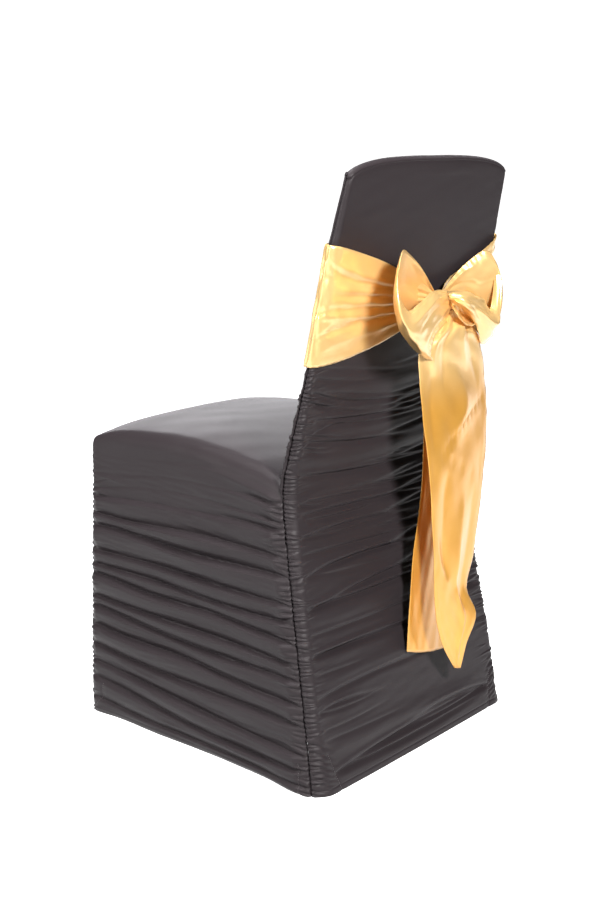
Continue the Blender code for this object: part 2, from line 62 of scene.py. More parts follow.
# ---- Sizes of the cover ------------------------------------------------------
FRONT_Y = -0.290            # front of the skirt
HEM_FRONT_HALF = 0.226      # half the width at the front feet
SEAT_FRONT_HALF = 0.204     # half the width at the seat's front edge
SEAT_FRONT_Z = 0.462        # height of the seat's front corners
KINK_Z = 0.448              # height at which the rear legs turn into the backrest
REAR_HEM_Y = 0.226          # outer back at the floor
KINK_Y = 0.140              # outer back at the kink
TOP_Y = 0.2415              # outer back at the top
TOP_Z = 0.920               # crown of the backrest
KINK_ROUNDING = 0.012       # how softly the cloth turns at the kink
CORNER_DROP = 0.016         # how much lower the top's corners are than its crown
FULLNESS = 3.5              # how squarely a crowned line reaches its corners
TOP_SEAM_DROP = 0.006       # the top seam lies this far under the top line
SIDE_SAG = 0.005            # how far the sides draw in between the feet
INNER_BACK_CROWN = 0.012    # how far the inner back stands forward in its middle
BACK_CROWN = 0.002          # how far the outer back stands out in its middle
TUCK = 0.003                # cloth turned in at a seam
TUCK_SIDE = 0.0002          # how far the turned cloth keeps to its own side
SEAM_DIP = 0.0016           # how deep the thread draws a gathered seam in
GATHERS_END = 0.628         # height at which the outer back's gathers stop
FLARE = 0.010               # how much the right rear corner stands out more than the left
FLARE_TOP = 0.400           # and the height from which it does
FLARE_TIP = 0.004           # the hem's tip at that corner
CORNER_ROUND = 0.006        # how much the top's very corners are rounded off
HEM_HEIGHT = 0.009          # the hem's stitches lie this far over its edge
HEM_DIP = 0.0010            # and how deep they draw the cloth in
HEM_WIDTH = 0.0012          # over this width
SEAM_WIDTH = 0.003          # how far from its thread a seam draws the cloth in
PLAIN_SEAM = 0.6            # how deep the front's seams are, as a share of the rear ones
TOP_SEAM_DIP = 0.0012       # how deep the thread draws the top seam in

# The outer back: half its width, how far its cloth wraps round the side to the
# seam, the depth of the leg or backrest under it, its rounded corner, and the
# rounding of the inner back's side edge.
BACK_EDGE = metres((
    # height, half width, wrap, depth, rounding, inner rounding
    (0, 242, 19, 34, 30, 11),
    (30, 240, 19, 34, 24, 11),
    (110, 234.8, 18.8, 34, 14, 11),
    (448, 213, 18, 34, 13, 11),
    (500, 211.8, 14, 22, 10, 6),
    (620, 209.1, 8, 13, 7, 4.5),
    (800, 205, 11, 15.5, 8, 4.2),
    (920, 195, 8.5, 13, 6, 4.2),
))
FRONT_ROUNDING = metres(((0, 16), (60, 10), (380, 9), (448, 0)))

# The seat's side edge, from the front to the rear.
SEAT_EDGE = metres((
    # place, height of the edge, rounding, height of the middle
    (0.0, 465, 10, 478),
    (0.05, 472, 13, 487),
    (0.25, 484.5, 22, 494),
    (0.5, 488, 27, 493.5),
    (0.75, 476.2, 28, 484),
    (0.95, 461.8, 26, 471.5),
    (1.0, 456, 24, 466),
), shares=1)

# The feet push the hem out a little: place along the side, width, height, out.
FOOT_BULGES = metres(((0.93, 0.09, 50, 6), (0.04, 0.06, 40, 3.5), (0.34, 0.12, 30, 3)), shares=2)

# The valleys between the side's folds, from the hem to the seat's edge: their
# heights at the front, in the middle and at the rear, and how far the fold above
# each stands out there.
SIDE_FOLDS = metres((
    (0, 0, 0, 2, 3, 2),
    (30, 14, 14, 3.5, 4.5, 2.5),
    (63, 38, 32, 3, 6, 4),
    (88, 70, 59, 4, 5.5, 3),
    (121, 105, 101, 5, 7, 4),
    (154, 141, 132, 4.5, 5.5, 4.5),
    (185, 171, 167, 4, 6, 4),
    (204, 195, 188, 5, 7, 5),
    (239, 230, 225, 5, 5, 4.5),
    (259, 251, 253, 4.5, 6, 4),
    (281, 278, 280, 6, 7.5, 5),
    (322, 318, 318, 5, 6.5, 4.5),
    (342, 345, 350, 5, 3.5, 4.5),
    (366, 384, 383, 2.2, 0.6, 4.5),
    (380, 405, 398, 1.2, 0.6, 3.5),
    (392, 428, 418, 0.3, 0.6, 3.5),
    (436, 452, 447, 0, 0, 0),
    (600, 600, 600, 0, 0, 0),
))
FRONT_FOLDS = metres((
    (0, 0, 0, 2, 3, 2),
    (30, 22, 31, 3, 4.5, 3),
    (66, 60, 64, 3.5, 5, 3.5),
    (96, 101, 92, 4, 4, 4),
    (124, 133, 126, 4, 6, 4.5),
    (158, 164, 154, 4.5, 4.5, 4),
    (190, 197, 188, 4, 5.5, 4),
    (226, 231, 224, 4.5, 5, 4.5),
    (256, 260, 259, 4.5, 6, 4.5),
    (285, 291, 282, 5, 5.5, 5),
    (320, 325, 322, 4.5, 4.5, 4.5),
    (352, 358, 345, 3, 2, 3.5),
    (385, 398, 382, 1.5, 0.6, 2),
    (430, 440, 425, 0, 0, 0),
    (600, 600, 600, 0, 0, 0),
))
FOLD_TURN = 0.80            # share of a fold's height at which it turns in
FOLD_BELLY = 2.4            # how full a fold hangs under that

# Thin pinched creases over the outer back, each from one side seam inwards.
BACK_CREASES = metres((
    # start x, end x, height at start, middle and end, depth, width
    (190, -10, 628, 613, 601, 1, 1.6),
    (212, 60, 617, 602, 594, 1.3, 1.6),
    (175, 10, 591, 576, 565, 1.4, 1.6),
    (206, -40, 594, 564, 557, 2.6, 2),
    (208, 110, 579, 567, 560, 1.8, 1.6),
    (190, -40, 573, 547, 537, 2, 1.8),
    (80, -120, 555, 543, 536, 1.5, 1.6),
    (185, -90, 548, 536, 528, 2.8, 2),
    (165, -110, 541, 525, 528, 1.8, 1.6),
    (186, 60, 528, 534, 527, 1.5, 1.6),
    (205, 80, 530, 517, 509, 2, 1.6),
    (200, -60, 519, 500, 492, 3, 2.1),
    (200, 140, 509, 503, 499, 1.8, 1.4),
    (200, 140, 502, 497, 491, 1.6, 1.4),
    (60, -185, 463, 453, 449, 1.8, 1.6),
    (203, -150, 467, 451, 449, 3, 2.1),
    (10, -190, 423, 418, 423, 1.8, 1.6),
    (85, -60, 429, 422, 413, 1.4, 1.6),
    (204, -10, 427, 420, 413, 1.8, 1.6),
    (208, 120, 427, 417, 418, 2, 1.6),
    (200, -195, 408, 399, 385, 3.4, 2.3),
    (190, 0, 400, 393, 393, 2.2, 1.8),
    (206, -60, 376, 376, 364, 3.4, 2.3),
    (204, -20, 376, 368, 368, 2, 1.8),
    (40, -190, 361, 350, 347, 1.6, 1.8),
    (212, -90, 352, 345, 338, 1.8, 1.8),
    (130, -150, 324, 323, 310, 2.2, 1.8),
    (212, -60, 318, 328, 316, 3.6, 2.3),
    (200, 0, 319, 310, 303, 1.2, 1.8),
    (212, -190, 268, 286, 277, 3.4, 2.3),
    (222, -150, 274, 269, 271, 3.8, 2.3),
    (222, -60, 235, 230, 230, 1.6, 1.8),
    (212, -100, 203, 203, 192, 2.4, 2),
    (226, -80, 205, 199, 190, 3.4, 2.1),
    (222, 110, 178, 173, 171, 1.2, 1.6),
    (222, -80, 142, 146, 139, 2, 2),
    (226, 70, 123, 124, 110, 2, 1.8),
    (222, 100, 122, 115, 113, 1.6, 1.6),
    (218, 70, 96, 92, 96, 0.9, 1.6),
    (218, 30, 80, 75, 73, 1, 1.6),
    (205, -190, 28, 40, 38, 3.8, 2.5),
    (205, -190, 29, 24, 28, 3, 2.1),
))
CREASE_LIP = 0.30           # how far the cloth over a crease swells, as a share of its depth
LIP_PLACE, LIP_WIDTH = 3.0, 1.8     # where it does, and how broadly, in widths of the crease
FOLD_DRIFT = 0.0022         # how far a fold's valley wanders up and down
FOLD_SWELL = 0.18           # how much a fold's depth changes on its way
CREASE_SLOPE = 2.6          # how much gentler a crease is under its line than over it
FAR_CREASE_SHIFT = 0.009    # the creases from the other seam lie this much higher
FAR_CREASE_END = 0.010      # and end about the middle
# Soft long swells of the outer back between its creases.
BACK_SWELLS = metres((
    (200, -200, 600, 586, 600, 1.2, 12),
    (200, -200, 487, 478, 487, 1.6, 12),
    (205, -205, 437, 435, 437, 1.4, 10),
    (205, -205, 335, 337, 333, 1.6, 12),
    (205, -205, 252, 250, 252, 1.4, 14),
    (205, -205, 160, 161, 156, 2, 14),
    (205, -205, 60, 62, 58, 1.8, 14),
))
# The fans of small pleats that the foot pockets' seams draw at the outer back's corners.
FOOT_FANS = metres((
    (244, 200, 83, 74, 62, 1.4, 1.6),
    (244, 198, 70, 61, 48, 1.6, 1.6),
    (244, 196, 59, 50, 37, 1.6, 1.5),
    (244, 194, 49, 40, 28, 1.8, 1.5),
    (244, 192, 40, 31, 20, 1.6, 1.5),
    (244, 191, 31, 23, 13, 1.6, 1.4),
    (244, 190, 22, 15, 7, 1.4, 1.4),
))
# The foot pockets' seams: way from the middle, or from the side seam or the front
# corner, and height.
BACK_FOOT_SEAM = metres(((214, 60), (206, 34), (199, 15), (194, 1)))
SIDE_FOOT_SEAM = metres(((16, 46), (21, 1)))
FRONT_FOOT_SEAM = metres(((38, 54), (35, 32), (20, 14), (9, 1)))
FOOT_SEAM_WIDTH, FOOT_SEAM_DIP = 0.0022, 0.0014
# Creases over the smooth cloth above the sash.
TOP_CREASES = metres(((80, -180, 893, 898, 896, 0.7, 3), (170, 20, 835, 842, 838, 0.4, 6)))
# Short and slanting creases over the sides.
SIDE_CREASES = metres((
    # start place, end place, height at start, middle and end, out, width
    (0.0, 0.2, 401, 404, 397, 2.2, 4.5),
    (0.0, 0.12, 378, 377, 370, 1.8, 4),
    (0.45, 1.0, 430, 428, 405, 2, 8),
    (0.55, 1.0, 412, 406, 388, 2.2, 8),
    (0.7, 1.0, 447, 437, 424, 1.6, 6),
    (0.1, 0.55, 299, 300, 297, -1.2, 5),
    (0.3, 0.8, 212, 213, 208, -1, 5),
    (0.05, 0.4, 167, 163, 158, -1, 4.5),
    (0.55, 0.98, 150, 147, 144, 1, 5),
    (0.08, 0.45, 112, 94, 82, 1.4, 6),
    (0.0, 0.3, 100, 92, 75, -1.2, 4.5),
    (0.5, 0.97, 85, 74, 80, -1.2, 6),
    (0.25, 0.9, 24, 26, 23, 1.2, 5),
    (0.6, 0.97, 49, 44, 47, 1.2, 5),
), shares=2)


def reader(table, column):
    """A function that reads one column of a table at a height."""
    heights, values = np.array(table).T[[0, column]]
    return lambda z: np.interp(z, heights, values)


half_width, wrap_depth, rest_depth, rear_rounding, inner_rounding = (
    reader(BACK_EDGE, column) for column in range(1, 6)
)
front_rounding = reader(FRONT_ROUNDING, 1)


def back_y(z):
    """The outer back's plane: rear legs raked one way, the backrest the other."""
    leg = REAR_HEM_Y + (KINK_Y - REAR_HEM_Y) * z / KINK_Z
    rest = KINK_Y + (TOP_Y - KINK_Y) * (z - KINK_Z) / (TOP_Z - KINK_Z)
    return 0.5 * (leg + rest + np.hypot(leg - rest, KINK_ROUNDING))


def seam_y(z):
    return back_y(z) - wrap_depth(z)


def front_half(z):
    return HEM_FRONT_HALF + (SEAT_FRONT_HALF - HEM_FRONT_HALF) * np.minimum(z / SEAT_FRONT_Z, 1.0)


def inner_y(z, share):
    """The inner back's face, fuller in the middle than at its sides."""
    return back_y(z) - rest_depth(z) - INNER_BACK_CROWN * (1.0 - share * share)


def top_z(share):
    """The top line of the backrest, lower at its corners."""
    return TOP_Z - CORNER_DROP * np.abs(share) ** FULLNESS - CORNER_ROUND * np.abs(share) ** 16


def smooth(share):
    share = np.clip(share, 0.0, 1.0)
    return share * share * (3.0 - 2.0 * share)


def spline(places, values, at):
    """A smooth curve through values at rising places."""
    places, values, at = (np.asarray(each, float) for each in (places, values, at))
    slopes = np.gradient(values, places, axis=0)
    low = np.clip(np.searchsorted(places, at, side="right") - 1, 0, len(places) - 2)
    shape = at.shape + (1,) * (values.ndim - 1)
    step = (places[low + 1] - places[low]).reshape(shape)
    t = np.clip((at - places[low]).reshape(shape) / step, 0.0, 1.0)
    return (
        values[low] * (1 + 2 * t) * (1 - t) ** 2
        + values[low + 1] * t * t * (3 - 2 * t)
        + step * (slopes[low] * t * (1 - t) ** 2 - slopes[low + 1] * t * t * (1 - t))
    )


def through(values, place):
    """A soft curve through three values at places 0, 1/2 and 1."""
    first, middle, last = values
    return (
        first * (1 - place) * (1 - 2 * place)
        + middle * 4 * place * (1 - place)
        + last * place * (2 * place - 1)
    )


def steps(*stretches):
    """Rising places: each stretch is its end and its number of steps."""
    places = [0.0]
    for end, count in stretches:
        places += list(np.linspace(places[-1], end, count + 1)[1:])
    return np.array(places)


# ---- Heights over a cloth's face ---------------------------------------------
def fold_profile(share):
    """A fold swells slowly from its lower valley and turns in sharply under the next."""
    below = 1.0 - (1.0 - np.clip(share / FOLD_TURN, 0.0, 1.0)) ** FOLD_BELLY
    above = np.cos(0.5 * np.pi * np.clip((share - FOLD_TURN) / (1.0 - FOLD_TURN), 0.0, 1.0))
    return np.where(share < FOLD_TURN, below, above)


def fold_heights(z, place, table, seed):
    """Heights of a panel's long folds; place runs from 0 to 1 across it."""
    rng = np.random.default_rng(seed)
    rows = np.array(table)
    line = place[0]
    valleys = through(rows[:, :3].T[..., None], line[None, :])
    outs = through(rows[:, 3:].T[..., None], line[None, :])
    wave = rng.uniform(0.7, 1.6, len(rows))[:, None] * line + rng.uniform(0, 1, len(rows))[:, None]
    inner = (valleys > 0.004) & (valleys < 0.55)
    valleys = valleys + np.where(inner, FOLD_DRIFT * np.sin(2 * np.pi * wave), 0.0)
    outs = outs * (1.0 + FOLD_SWELL * np.sin(2 * np.pi * (1.3 * wave + 0.3)))
    heights = np.zeros_like(z)
    for j in range(z.shape[1]):
        low = np.clip(np.searchsorted(valleys[:, j], z[:, j], side="right") - 1, 0, len(rows) - 2)
        start, end = valleys[low, j], valleys[low + 1, j]
        share = np.clip((z[:, j] - start) / np.maximum(end - start, 1e-6), 0.0, 1.0)
        heights[:, j] = outs[low, j] * fold_profile(share)
    return heights


def crease_heights(x, z, table, keen=1.3):
    """Heights of single ridges, thin at their ends; x runs across the panel."""
    heights = np.zeros_like(z)
    for start, end, z_start, z_middle, z_end, out, width in table:
        place = (x - start) / (end - start)
        inside = np.clip(4.0 * place * (1.0 - place), 0.0, 1.0)
        line = through((z_start, z_middle, z_end), np.clip(place, 0.0, 1.0))
        away = (z - line) / (width * (0.45 + 0.55 * inside))
        heights += out * inside ** 0.7 * np.exp(-np.abs(away) ** keen)
    return heights


def pinch_heights(x, z, table):
    """Depths of thin pinched creases, deepest near the seam they start from."""
    heights = np.zeros_like(z)
    for start, end, z_start, z_middle, z_end, depth, width in table:
        place = np.clip((x - start) / (end - start), 0.0, 1.0)
        inside = place ** 0.6 * (1.0 - place) / 0.347
        away = (z - through((z_start, z_middle, z_end), place)) / width
        under = np.exp(-(np.minimum(away, 0.0) / CREASE_SLOPE) ** 2)
        over = np.exp(-np.maximum(away, 0.0) ** 2)
        lip = CREASE_LIP * np.exp(-((away - LIP_PLACE) / LIP_WIDTH) ** 2)
        heights += depth * inside * (lip - under * over)
    return heights


def seam_line(across, z, corners):
    """How near each place is to a stitched line: 1 on the line, 0 away from it."""
    nearest = np.full_like(z, 1.0)
    for (start, low), (end, high) in zip(corners[:-1], corners[1:]):
        way, rise = end - start, high - low
        share = ((across - start) * way + (z - low) * rise) / (way * way + rise * rise)
        share = np.clip(share, 0.0, 1.0)
        away = np.hypot(across - start - share * way, z - low - share * rise)
        nearest = np.minimum(nearest, away)
    return np.exp(-(nearest / FOOT_SEAM_WIDTH) ** 2)


def seam_dip(away):
    """How deep a gathered seam's thread draws in the cloth beside it."""
    return SEAM_DIP * np.exp(-away / SEAM_WIDTH)


def hem_dip(z):
    return HEM_DIP * np.exp(-((z - HEM_HEIGHT) / HEM_WIDTH) ** 2)


GATHERED_LENGTH, FIRST_GATHER = 1.2, -0.06      # a seam's stretch that can hold gathers
GATHER_PITCHES, GATHER_DEPTHS = (0.72, 1.28), (0.55, 1.25)      # least and greatest share
GATHER_REACHES, GATHER_LEAN = (0.45, 1.45), 0.22
GATHER_RISE = 0.0022        # how soon the puffs rise beside the thread


def gather_heights(z, away, seed, pitch, depth, reach):
    """Puffs between the stitches of a gathered seam; away is the way from the seam."""
    rng = np.random.default_rng(seed)
    count = int(GATHERED_LENGTH / pitch)
    lines = np.cumsum(rng.uniform(*GATHER_PITCHES, count)) * pitch + FIRST_GATHER
    outs = depth * rng.uniform(*GATHER_DEPTHS, count)
    reaches = reach * rng.uniform(*GATHER_REACHES, count)
    lean = spline(lines, rng.uniform(-GATHER_LEAN, GATHER_LEAN, count), z)
    moved = z + lean * away
    low = np.clip(np.searchsorted(lines, moved, side="right") - 1, 0, count - 2)
    share = np.clip((moved - lines[low]) / (lines[low + 1] - lines[low]), 0.0, 1.0)
    puff = np.sin(np.pi * share) ** 0.75
    fading = np.exp(-(away / reaches[low]) ** 2)
    return outs[low] * puff * fading * (1.0 - np.exp(-away / GATHER_RISE))


def ripple_heights(x, z, seed, out, long, short):
    """Faint unevenness of stretched cloth, longer across than upwards."""
    rng = np.random.default_rng(seed)
    heights = np.zeros_like(z)
    for _ in range(18):
        along, up = rng.uniform(0.7, 1.8, 2) * (1.0 / long, 1.0 / short)
        heights += np.cos(2 * np.pi * (along * x * rng.choice((-1, 1)) + up * z + rng.uniform()))
    return out * heights / 3.0


# ---- Grids, sheets and pieces ------------------------------------------------
def unit(vectors):
    return vectors / np.maximum(np.linalg.norm(vectors, axis=-1, keepdims=True), 1e-12)


def normals(grid):
    return unit(np.cross(np.gradient(grid, axis=1), np.gradient(grid, axis=0)))


def raised(grid, heights):
    return grid + normals(grid) * heights[..., None]


def tucked(grid, sides):
    """The grid with its cloth turned in along some of its edges."""
    for axis, last in sides:
        facing = normals(grid)
        line, face = np.moveaxis(grid, axis, 0), np.moveaxis(facing, axis, 0)
        edge, beside = (line[-1], line[-2]) if last else (line[0], line[1])
        turned = edge - (face[-1] if last else face[0]) * TUCK + unit(beside - edge) * TUCK_SIDE
        parts = (line, turned[None]) if last else (turned[None], line)
        grid = np.moveaxis(np.concatenate(parts), 0, axis)
    return grid


def flared(grid):
    """The right rear corner stands out a little more than the left one, as the cloth is pulled."""
    x, y, z = np.moveaxis(grid, -1, 0)
    corner = smooth((-x - 0.10) / 0.10) * smooth(y / 0.18)
    out = FLARE * smooth((FLARE_TOP - z) / 0.12) + FLARE_TIP * np.exp(-(z / 0.022) ** 2)
    return np.stack((x - corner * out, y, z), axis=-1)


TOP, BOTTOM, LEFT, RIGHT = (0, True), (0, False), (1, False), (1, True)


def sheet_data(outer, thickness, inner_step=2):
    """Points, faces and strip coordinates of a closed sheet inside its outer grid.

    The inner side, which is hardly seen, has fewer rows.
    """
    rows, columns = outer.shape[:2]
    kept = list(range(0, rows - 1, inner_step)) + [rows - 1]
    inner = (outer - normals(outer) * thickness)[kept]
    number = np.arange(rows * columns).reshape(rows, columns)
    under = rows * columns + np.arange(len(kept) * columns).reshape(len(kept), columns)

    def quads(grid):
        corners = grid[:-1, :-1], grid[:-1, 1:], grid[1:, 1:], grid[1:, :-1]
        return np.stack(corners, axis=-1).reshape(-1, 4)

    faces = quads(number).tolist() + quads(under)[:, ::-1].tolist()
    for j in range(columns - 1):
        faces.append([number[0, j + 1], number[0, j], under[0, j], under[0, j + 1]])
        faces.append([number[-1, j], number[-1, j + 1], under[-1, j + 1], under[-1, j]])
    for k, (low, high) in enumerate(zip(kept[:-1], kept[1:])):
        left, right = number[low:high + 1, 0].tolist(), number[low:high + 1, -1].tolist()
        faces.append(left + [under[k + 1, 0], under[k, 0]])
        faces.append(right[::-1] + [under[k, -1], under[k + 1, -1]])
    across = np.linalg.norm(np.diff(outer, axis=1, prepend=outer[:, :1]), axis=-1).cumsum(axis=1)
    along = np.linalg.norm(np.diff(outer, axis=0, prepend=outer[:1]), axis=-1).cumsum(axis=0)
    uv = np.stack((across, along), axis=-1)
    points = np.concatenate((outer.reshape(-1, 3), inner.reshape(-1, 3)))
    return points, faces, np.concatenate((uv.reshape(-1, 2), uv[kept].reshape(-1, 2)))


def piece(name, sheets, material):
    """One object of one or more closed sheets, with its strip coordinates."""
    points, faces, places, first = [], [], [], 0
    for sheet_points, sheet_faces, sheet_places in sheets:
        points.append(sheet_points)
        places.append(sheet_places)
        faces += [[first + int(k) for k in face] for face in sheet_faces]
        first += len(sheet_points)
    mesh = bpy.data.meshes.new(name)
    mesh.from_pydata(np.concatenate(points).tolist(), [], faces)
    layer = mesh.uv_layers.new(name="strip")
    corners = np.concatenate([np.array(face) for face in faces])
    layer.data.foreach_set("uv", np.concatenate(places)[corners].astype(np.float32).ravel())
    mesh.materials.append(material)
    mesh.shade_smooth()
    obj = bpy.data.objects.new(name, mesh)
    bpy.context.scene.collection.objects.link(obj)
    return obj


# ---- Faces of the cover ------------------------------------------------------
REAR, FRONT = True, False   # the plan's corners
END, SIDE = True, False     # and the faces that meet in one: the back or front, and the side


def rounded(x, y, z, corner, face):
    """Round a corner of the plan; x and y are on its sharp corner, on its end or its side."""
    if corner == REAR:
        half, end, rounding, out = half_width(z), back_y(z), rear_rounding(z), 1.0
    else:
        half, end, rounding, out = front_half(z), FRONT_Y, front_rounding(z), -1.0
    rounding = np.maximum(rounding, 1e-6)
    gap = half - x if face == END else out * (end - y)
    share = np.clip(gap / rounding, 0.0, 1.0)
    angle = 0.25 * np.pi * (1.0 + share if face == END else 1.0 - share)
    across, along = rounding * (1.0 - np.cos(angle)), rounding * (1.0 - np.sin(angle))
    if face == END:
        return np.where(gap < rounding, half - across, x), y - out * along
    return x - across, np.where(gap < rounding, end - out * along, y)


def seat_edge(place):
    """Height, rounding and middle height of the seat at a place from its front."""
    table = np.array(SEAT_EDGE)
    return [spline(table[:, 0], table[:, k], place) for k in (1, 2, 3)]


def seat_section(angle, share, place, far_y):
    """A point of the seat's rounded edge and top: angle on the edge, share on the top."""
    edge, rounding, middle = seat_edge(place)
    z_low = edge - rounding
    half = front_half(z_low) + (half_width(z_low) - front_half(z_low)) * place
    half = half - SIDE_SAG * np.sin(np.pi * place)
    start = half - rounding
    x = np.where(share >= 1.0, start + rounding * np.cos(angle), start * share)
    crown = (middle - edge) * (1.0 - np.abs(x / half) ** FULLNESS)
    z = edge - rounding + rounding * np.sin(angle) + crown
    y = FRONT_Y + (far_y(x, z, angle) - FRONT_Y) * place
    return np.stack((x, y, z), axis=-1)


def seat_rear_y(x, z, angle):
    """The seat's rear edge runs from the side seam to the inner back's face."""
    share = np.clip(x / half_width(z), 0.0, 1.0)
    turn = smooth(angle / (0.5 * np.pi))
    return seam_y(z) + (inner_y(z, share) - seam_y(z)) * turn


def side_distance(place, z):
    """Ways along the side from the front corner and from the rear seam."""
    length = seam_y(z) - FRONT_Y
    return place * length, (1.0 - place) * length


SIDE_PLACES = steps((0.055, 13), (0.13, 8), (0.84, 34), (0.935, 9), (1.0, 15))
WALL_ROWS, ARC_ROWS, TOP_ROWS = 340, 10, 20
RIPPLE = (0.00016, 0.16, 0.014)     # unevenness of a wall: out, long and short way
REAR_REACH, FRONT_REACH = 0.022, 0.016      # how far a side's gathers reach from its seams
FRONT_CALM, REAR_CALM = 0.020, 0.024        # the folds reach their size this far from the seams
FRONT_GATHERING = ((0.0, 0.36, 0.41, 0.46), (1.0, 1.0, 0.35, 0.2))      # heights and strengths
RIPPLE_TOP, REAR_GATHERS_TOP = 0.452, 0.500
SEAT_RIPPLE = (0.0002, 0.20, 0.11)
SEAT_CALM = 0.03
EDGE_RADIUS, TOP_START, TOP_LENGTH = 0.02, 0.035, 0.19      # ways over the seat, for its gathers
SEAT_REAR_GATHERS = (0.013, 0.0006, 0.012)  # pitch, depth and reach
SEAT_FRONT_GATHERS = (0.012, 0.0006, 0.010)


def saddle_wall(settings, seeds):
    """The left wall of the saddle panel, from the hem to the seat's rounded edge."""
    place = np.tile(SIDE_PLACES, (WALL_ROWS, 1))
    edge, rounding, _ = seat_edge(place)
    z = np.linspace(0.0, 1.0, WALL_ROWS)[:, None] * (edge - rounding)
    x = front_half(z) + (half_width(z) - front_half(z)) * place
    x = x - SIDE_SAG * np.sin(np.pi * place)
    y = FRONT_Y + (seam_y(z) - FRONT_Y) * place
    for centre, wide, high, out in FOOT_BULGES:
        fading = smooth(place / 0.05) * smooth((1.0 - place) / 0.05)
        x = x + out * fading * np.exp(-((place - centre) / wide) ** 2 - (z / high) ** 2)
    x, y = rounded(x, y, z, REAR, SIDE)
    x, y = rounded(x, y, z, FRONT, SIDE)
    from_front, from_rear = side_distance(place, z)
    calm = smooth(from_front / FRONT_CALM) * smooth(from_rear / REAR_CALM)
    heights = settings.fold_depth * fold_heights(z, place, SIDE_FOLDS, seeds[0]) * calm
    heights += crease_heights(place, z, SIDE_CREASES, 1.6) * calm
    depth, pitch = settings.gather_depth, settings.gather_pitch
    rear = gather_heights(z, from_rear, seeds[1], pitch, depth, REAR_REACH)
    heights += rear * smooth((REAR_GATHERS_TOP - z) / 0.02)
    front = gather_heights(z, from_front, seeds[2], pitch, 0.8 * depth, FRONT_REACH)
    heights += front * np.interp(z, *FRONT_GATHERING)
    low = smooth((RIPPLE_TOP - z) / 0.03)
    heights += ripple_heights(from_front, z, seeds[3], *RIPPLE) * calm * low
    heights -= seam_dip(from_rear) + PLAIN_SEAM * seam_dip(from_front) + hem_dip(z)
    heights -= FOOT_SEAM_DIP * seam_line(from_rear, z, SIDE_FOOT_SEAM)
    heights -= FOOT_SEAM_DIP * seam_line(from_front, z, FRONT_FOOT_SEAM)
    return raised(np.stack((x, y, z), axis=-1), heights)


def saddle_top(seeds):
    """The left half of the seat: its rounded edge, then its top to the middle."""
    on_edge = np.arange(ARC_ROWS + TOP_ROWS)[:, None] < ARC_ROWS
    turn = np.append(np.linspace(0.0, 1.0, ARC_ROWS + 1)[1:], np.ones(TOP_ROWS))
    share = np.append(np.ones(ARC_ROWS), np.linspace(1.0, 0.0, TOP_ROWS + 1)[1:])
    angle, place = np.meshgrid(0.5 * np.pi * turn, SIDE_PLACES, indexing="ij")
    share = np.tile(share[:, None], (1, len(SIDE_PLACES)))
    seat = seat_section(angle, np.where(on_edge, 1.0, share - 1e-9), place, seat_rear_y)
    from_front, from_rear = side_distance(place, seat[..., 2])
    heights = ripple_heights(seat[..., 0], seat[..., 1], seeds[0], *SEAT_RIPPLE)
    heights = heights * smooth(from_front / SEAT_CALM) * smooth(from_rear / SEAT_CALM)
    along = np.where(on_edge, angle * EDGE_RADIUS, TOP_START + (1.0 - share) * TOP_LENGTH)
    heights += gather_heights(along, from_rear, seeds[1], *SEAT_REAR_GATHERS)
    heights += gather_heights(along, from_front, seeds[2], *SEAT_FRONT_GATHERS)
    return raised(seat, heights - seam_dip(from_rear) - PLAIN_SEAM * seam_dip(from_front))


def saddle_half(settings, seeds):
    return np.concatenate((saddle_wall(settings, seeds[:4]), saddle_top(seeds[4:])))


def saddle_grid(settings):
    left = saddle_half(settings, (11, 12, 13, 14, 15, 16, 17))
    right = saddle_half(settings, (21, 22, 23, 24, 15, 26, 27)) * (-1, 1, 1)
    return np.concatenate((left, right[-2::-1]))


SKIRT_SHARES = steps((0.06, 14), (0.14, 8), (0.5, 18))
SKIRT_REACH = 0.018         # how far the front's gathers reach from its seams
SKIRT_CALM = 0.022


def front_skirt_grid(settings):
    """The front, from the hem to the seat's edge."""
    shares = 1.0 - 2.0 * np.concatenate((SKIRT_SHARES, 1.0 - SKIRT_SHARES[-2::-1]))
    share = np.tile(-shares, (WALL_ROWS, 1))
    edge, rounding, middle = (float(each) for each in seat_edge(np.array(0.0)))
    size = np.abs(share)
    reach = (1.0 - size) * SEAT_FRONT_HALF
    angle = np.arccos(np.clip(1.0 - reach / rounding, 0.0, 1.0))
    crown = (middle - edge) * (1.0 - size ** FULLNESS)
    top = edge - rounding + rounding * np.sin(angle) + crown
    z = np.linspace(0.0, 1.0, WALL_ROWS)[:, None] * top
    x, y = rounded(front_half(z) * size, np.full_like(z, FRONT_Y), z, FRONT, END)
    grid = np.stack((x * np.sign(share), y, z), axis=-1)
    from_left, from_right = (1.0 + share) * front_half(z), (1.0 - share) * front_half(z)
    under = top - z
    place = 0.5 * (1.0 - share)
    calm = smooth(from_left / SKIRT_CALM) * smooth(from_right / SKIRT_CALM) * smooth(under / 0.03)
    heights = settings.fold_depth * fold_heights(z, place, FRONT_FOLDS, 31) * calm
    depth, pitch = settings.gather_depth, settings.gather_pitch
    fading = smooth(under / 0.02)
    for from_seam, seed in ((from_left, 32), (from_right, 33)):
        heights += gather_heights(z, from_seam, seed, pitch, depth, SKIRT_REACH) * fading
    heights += ripple_heights(from_left, z, 34, *RIPPLE) * calm
    heights -= PLAIN_SEAM * (seam_dip(from_left) + seam_dip(from_right)) + hem_dip(z)
    return raised(grid, heights)


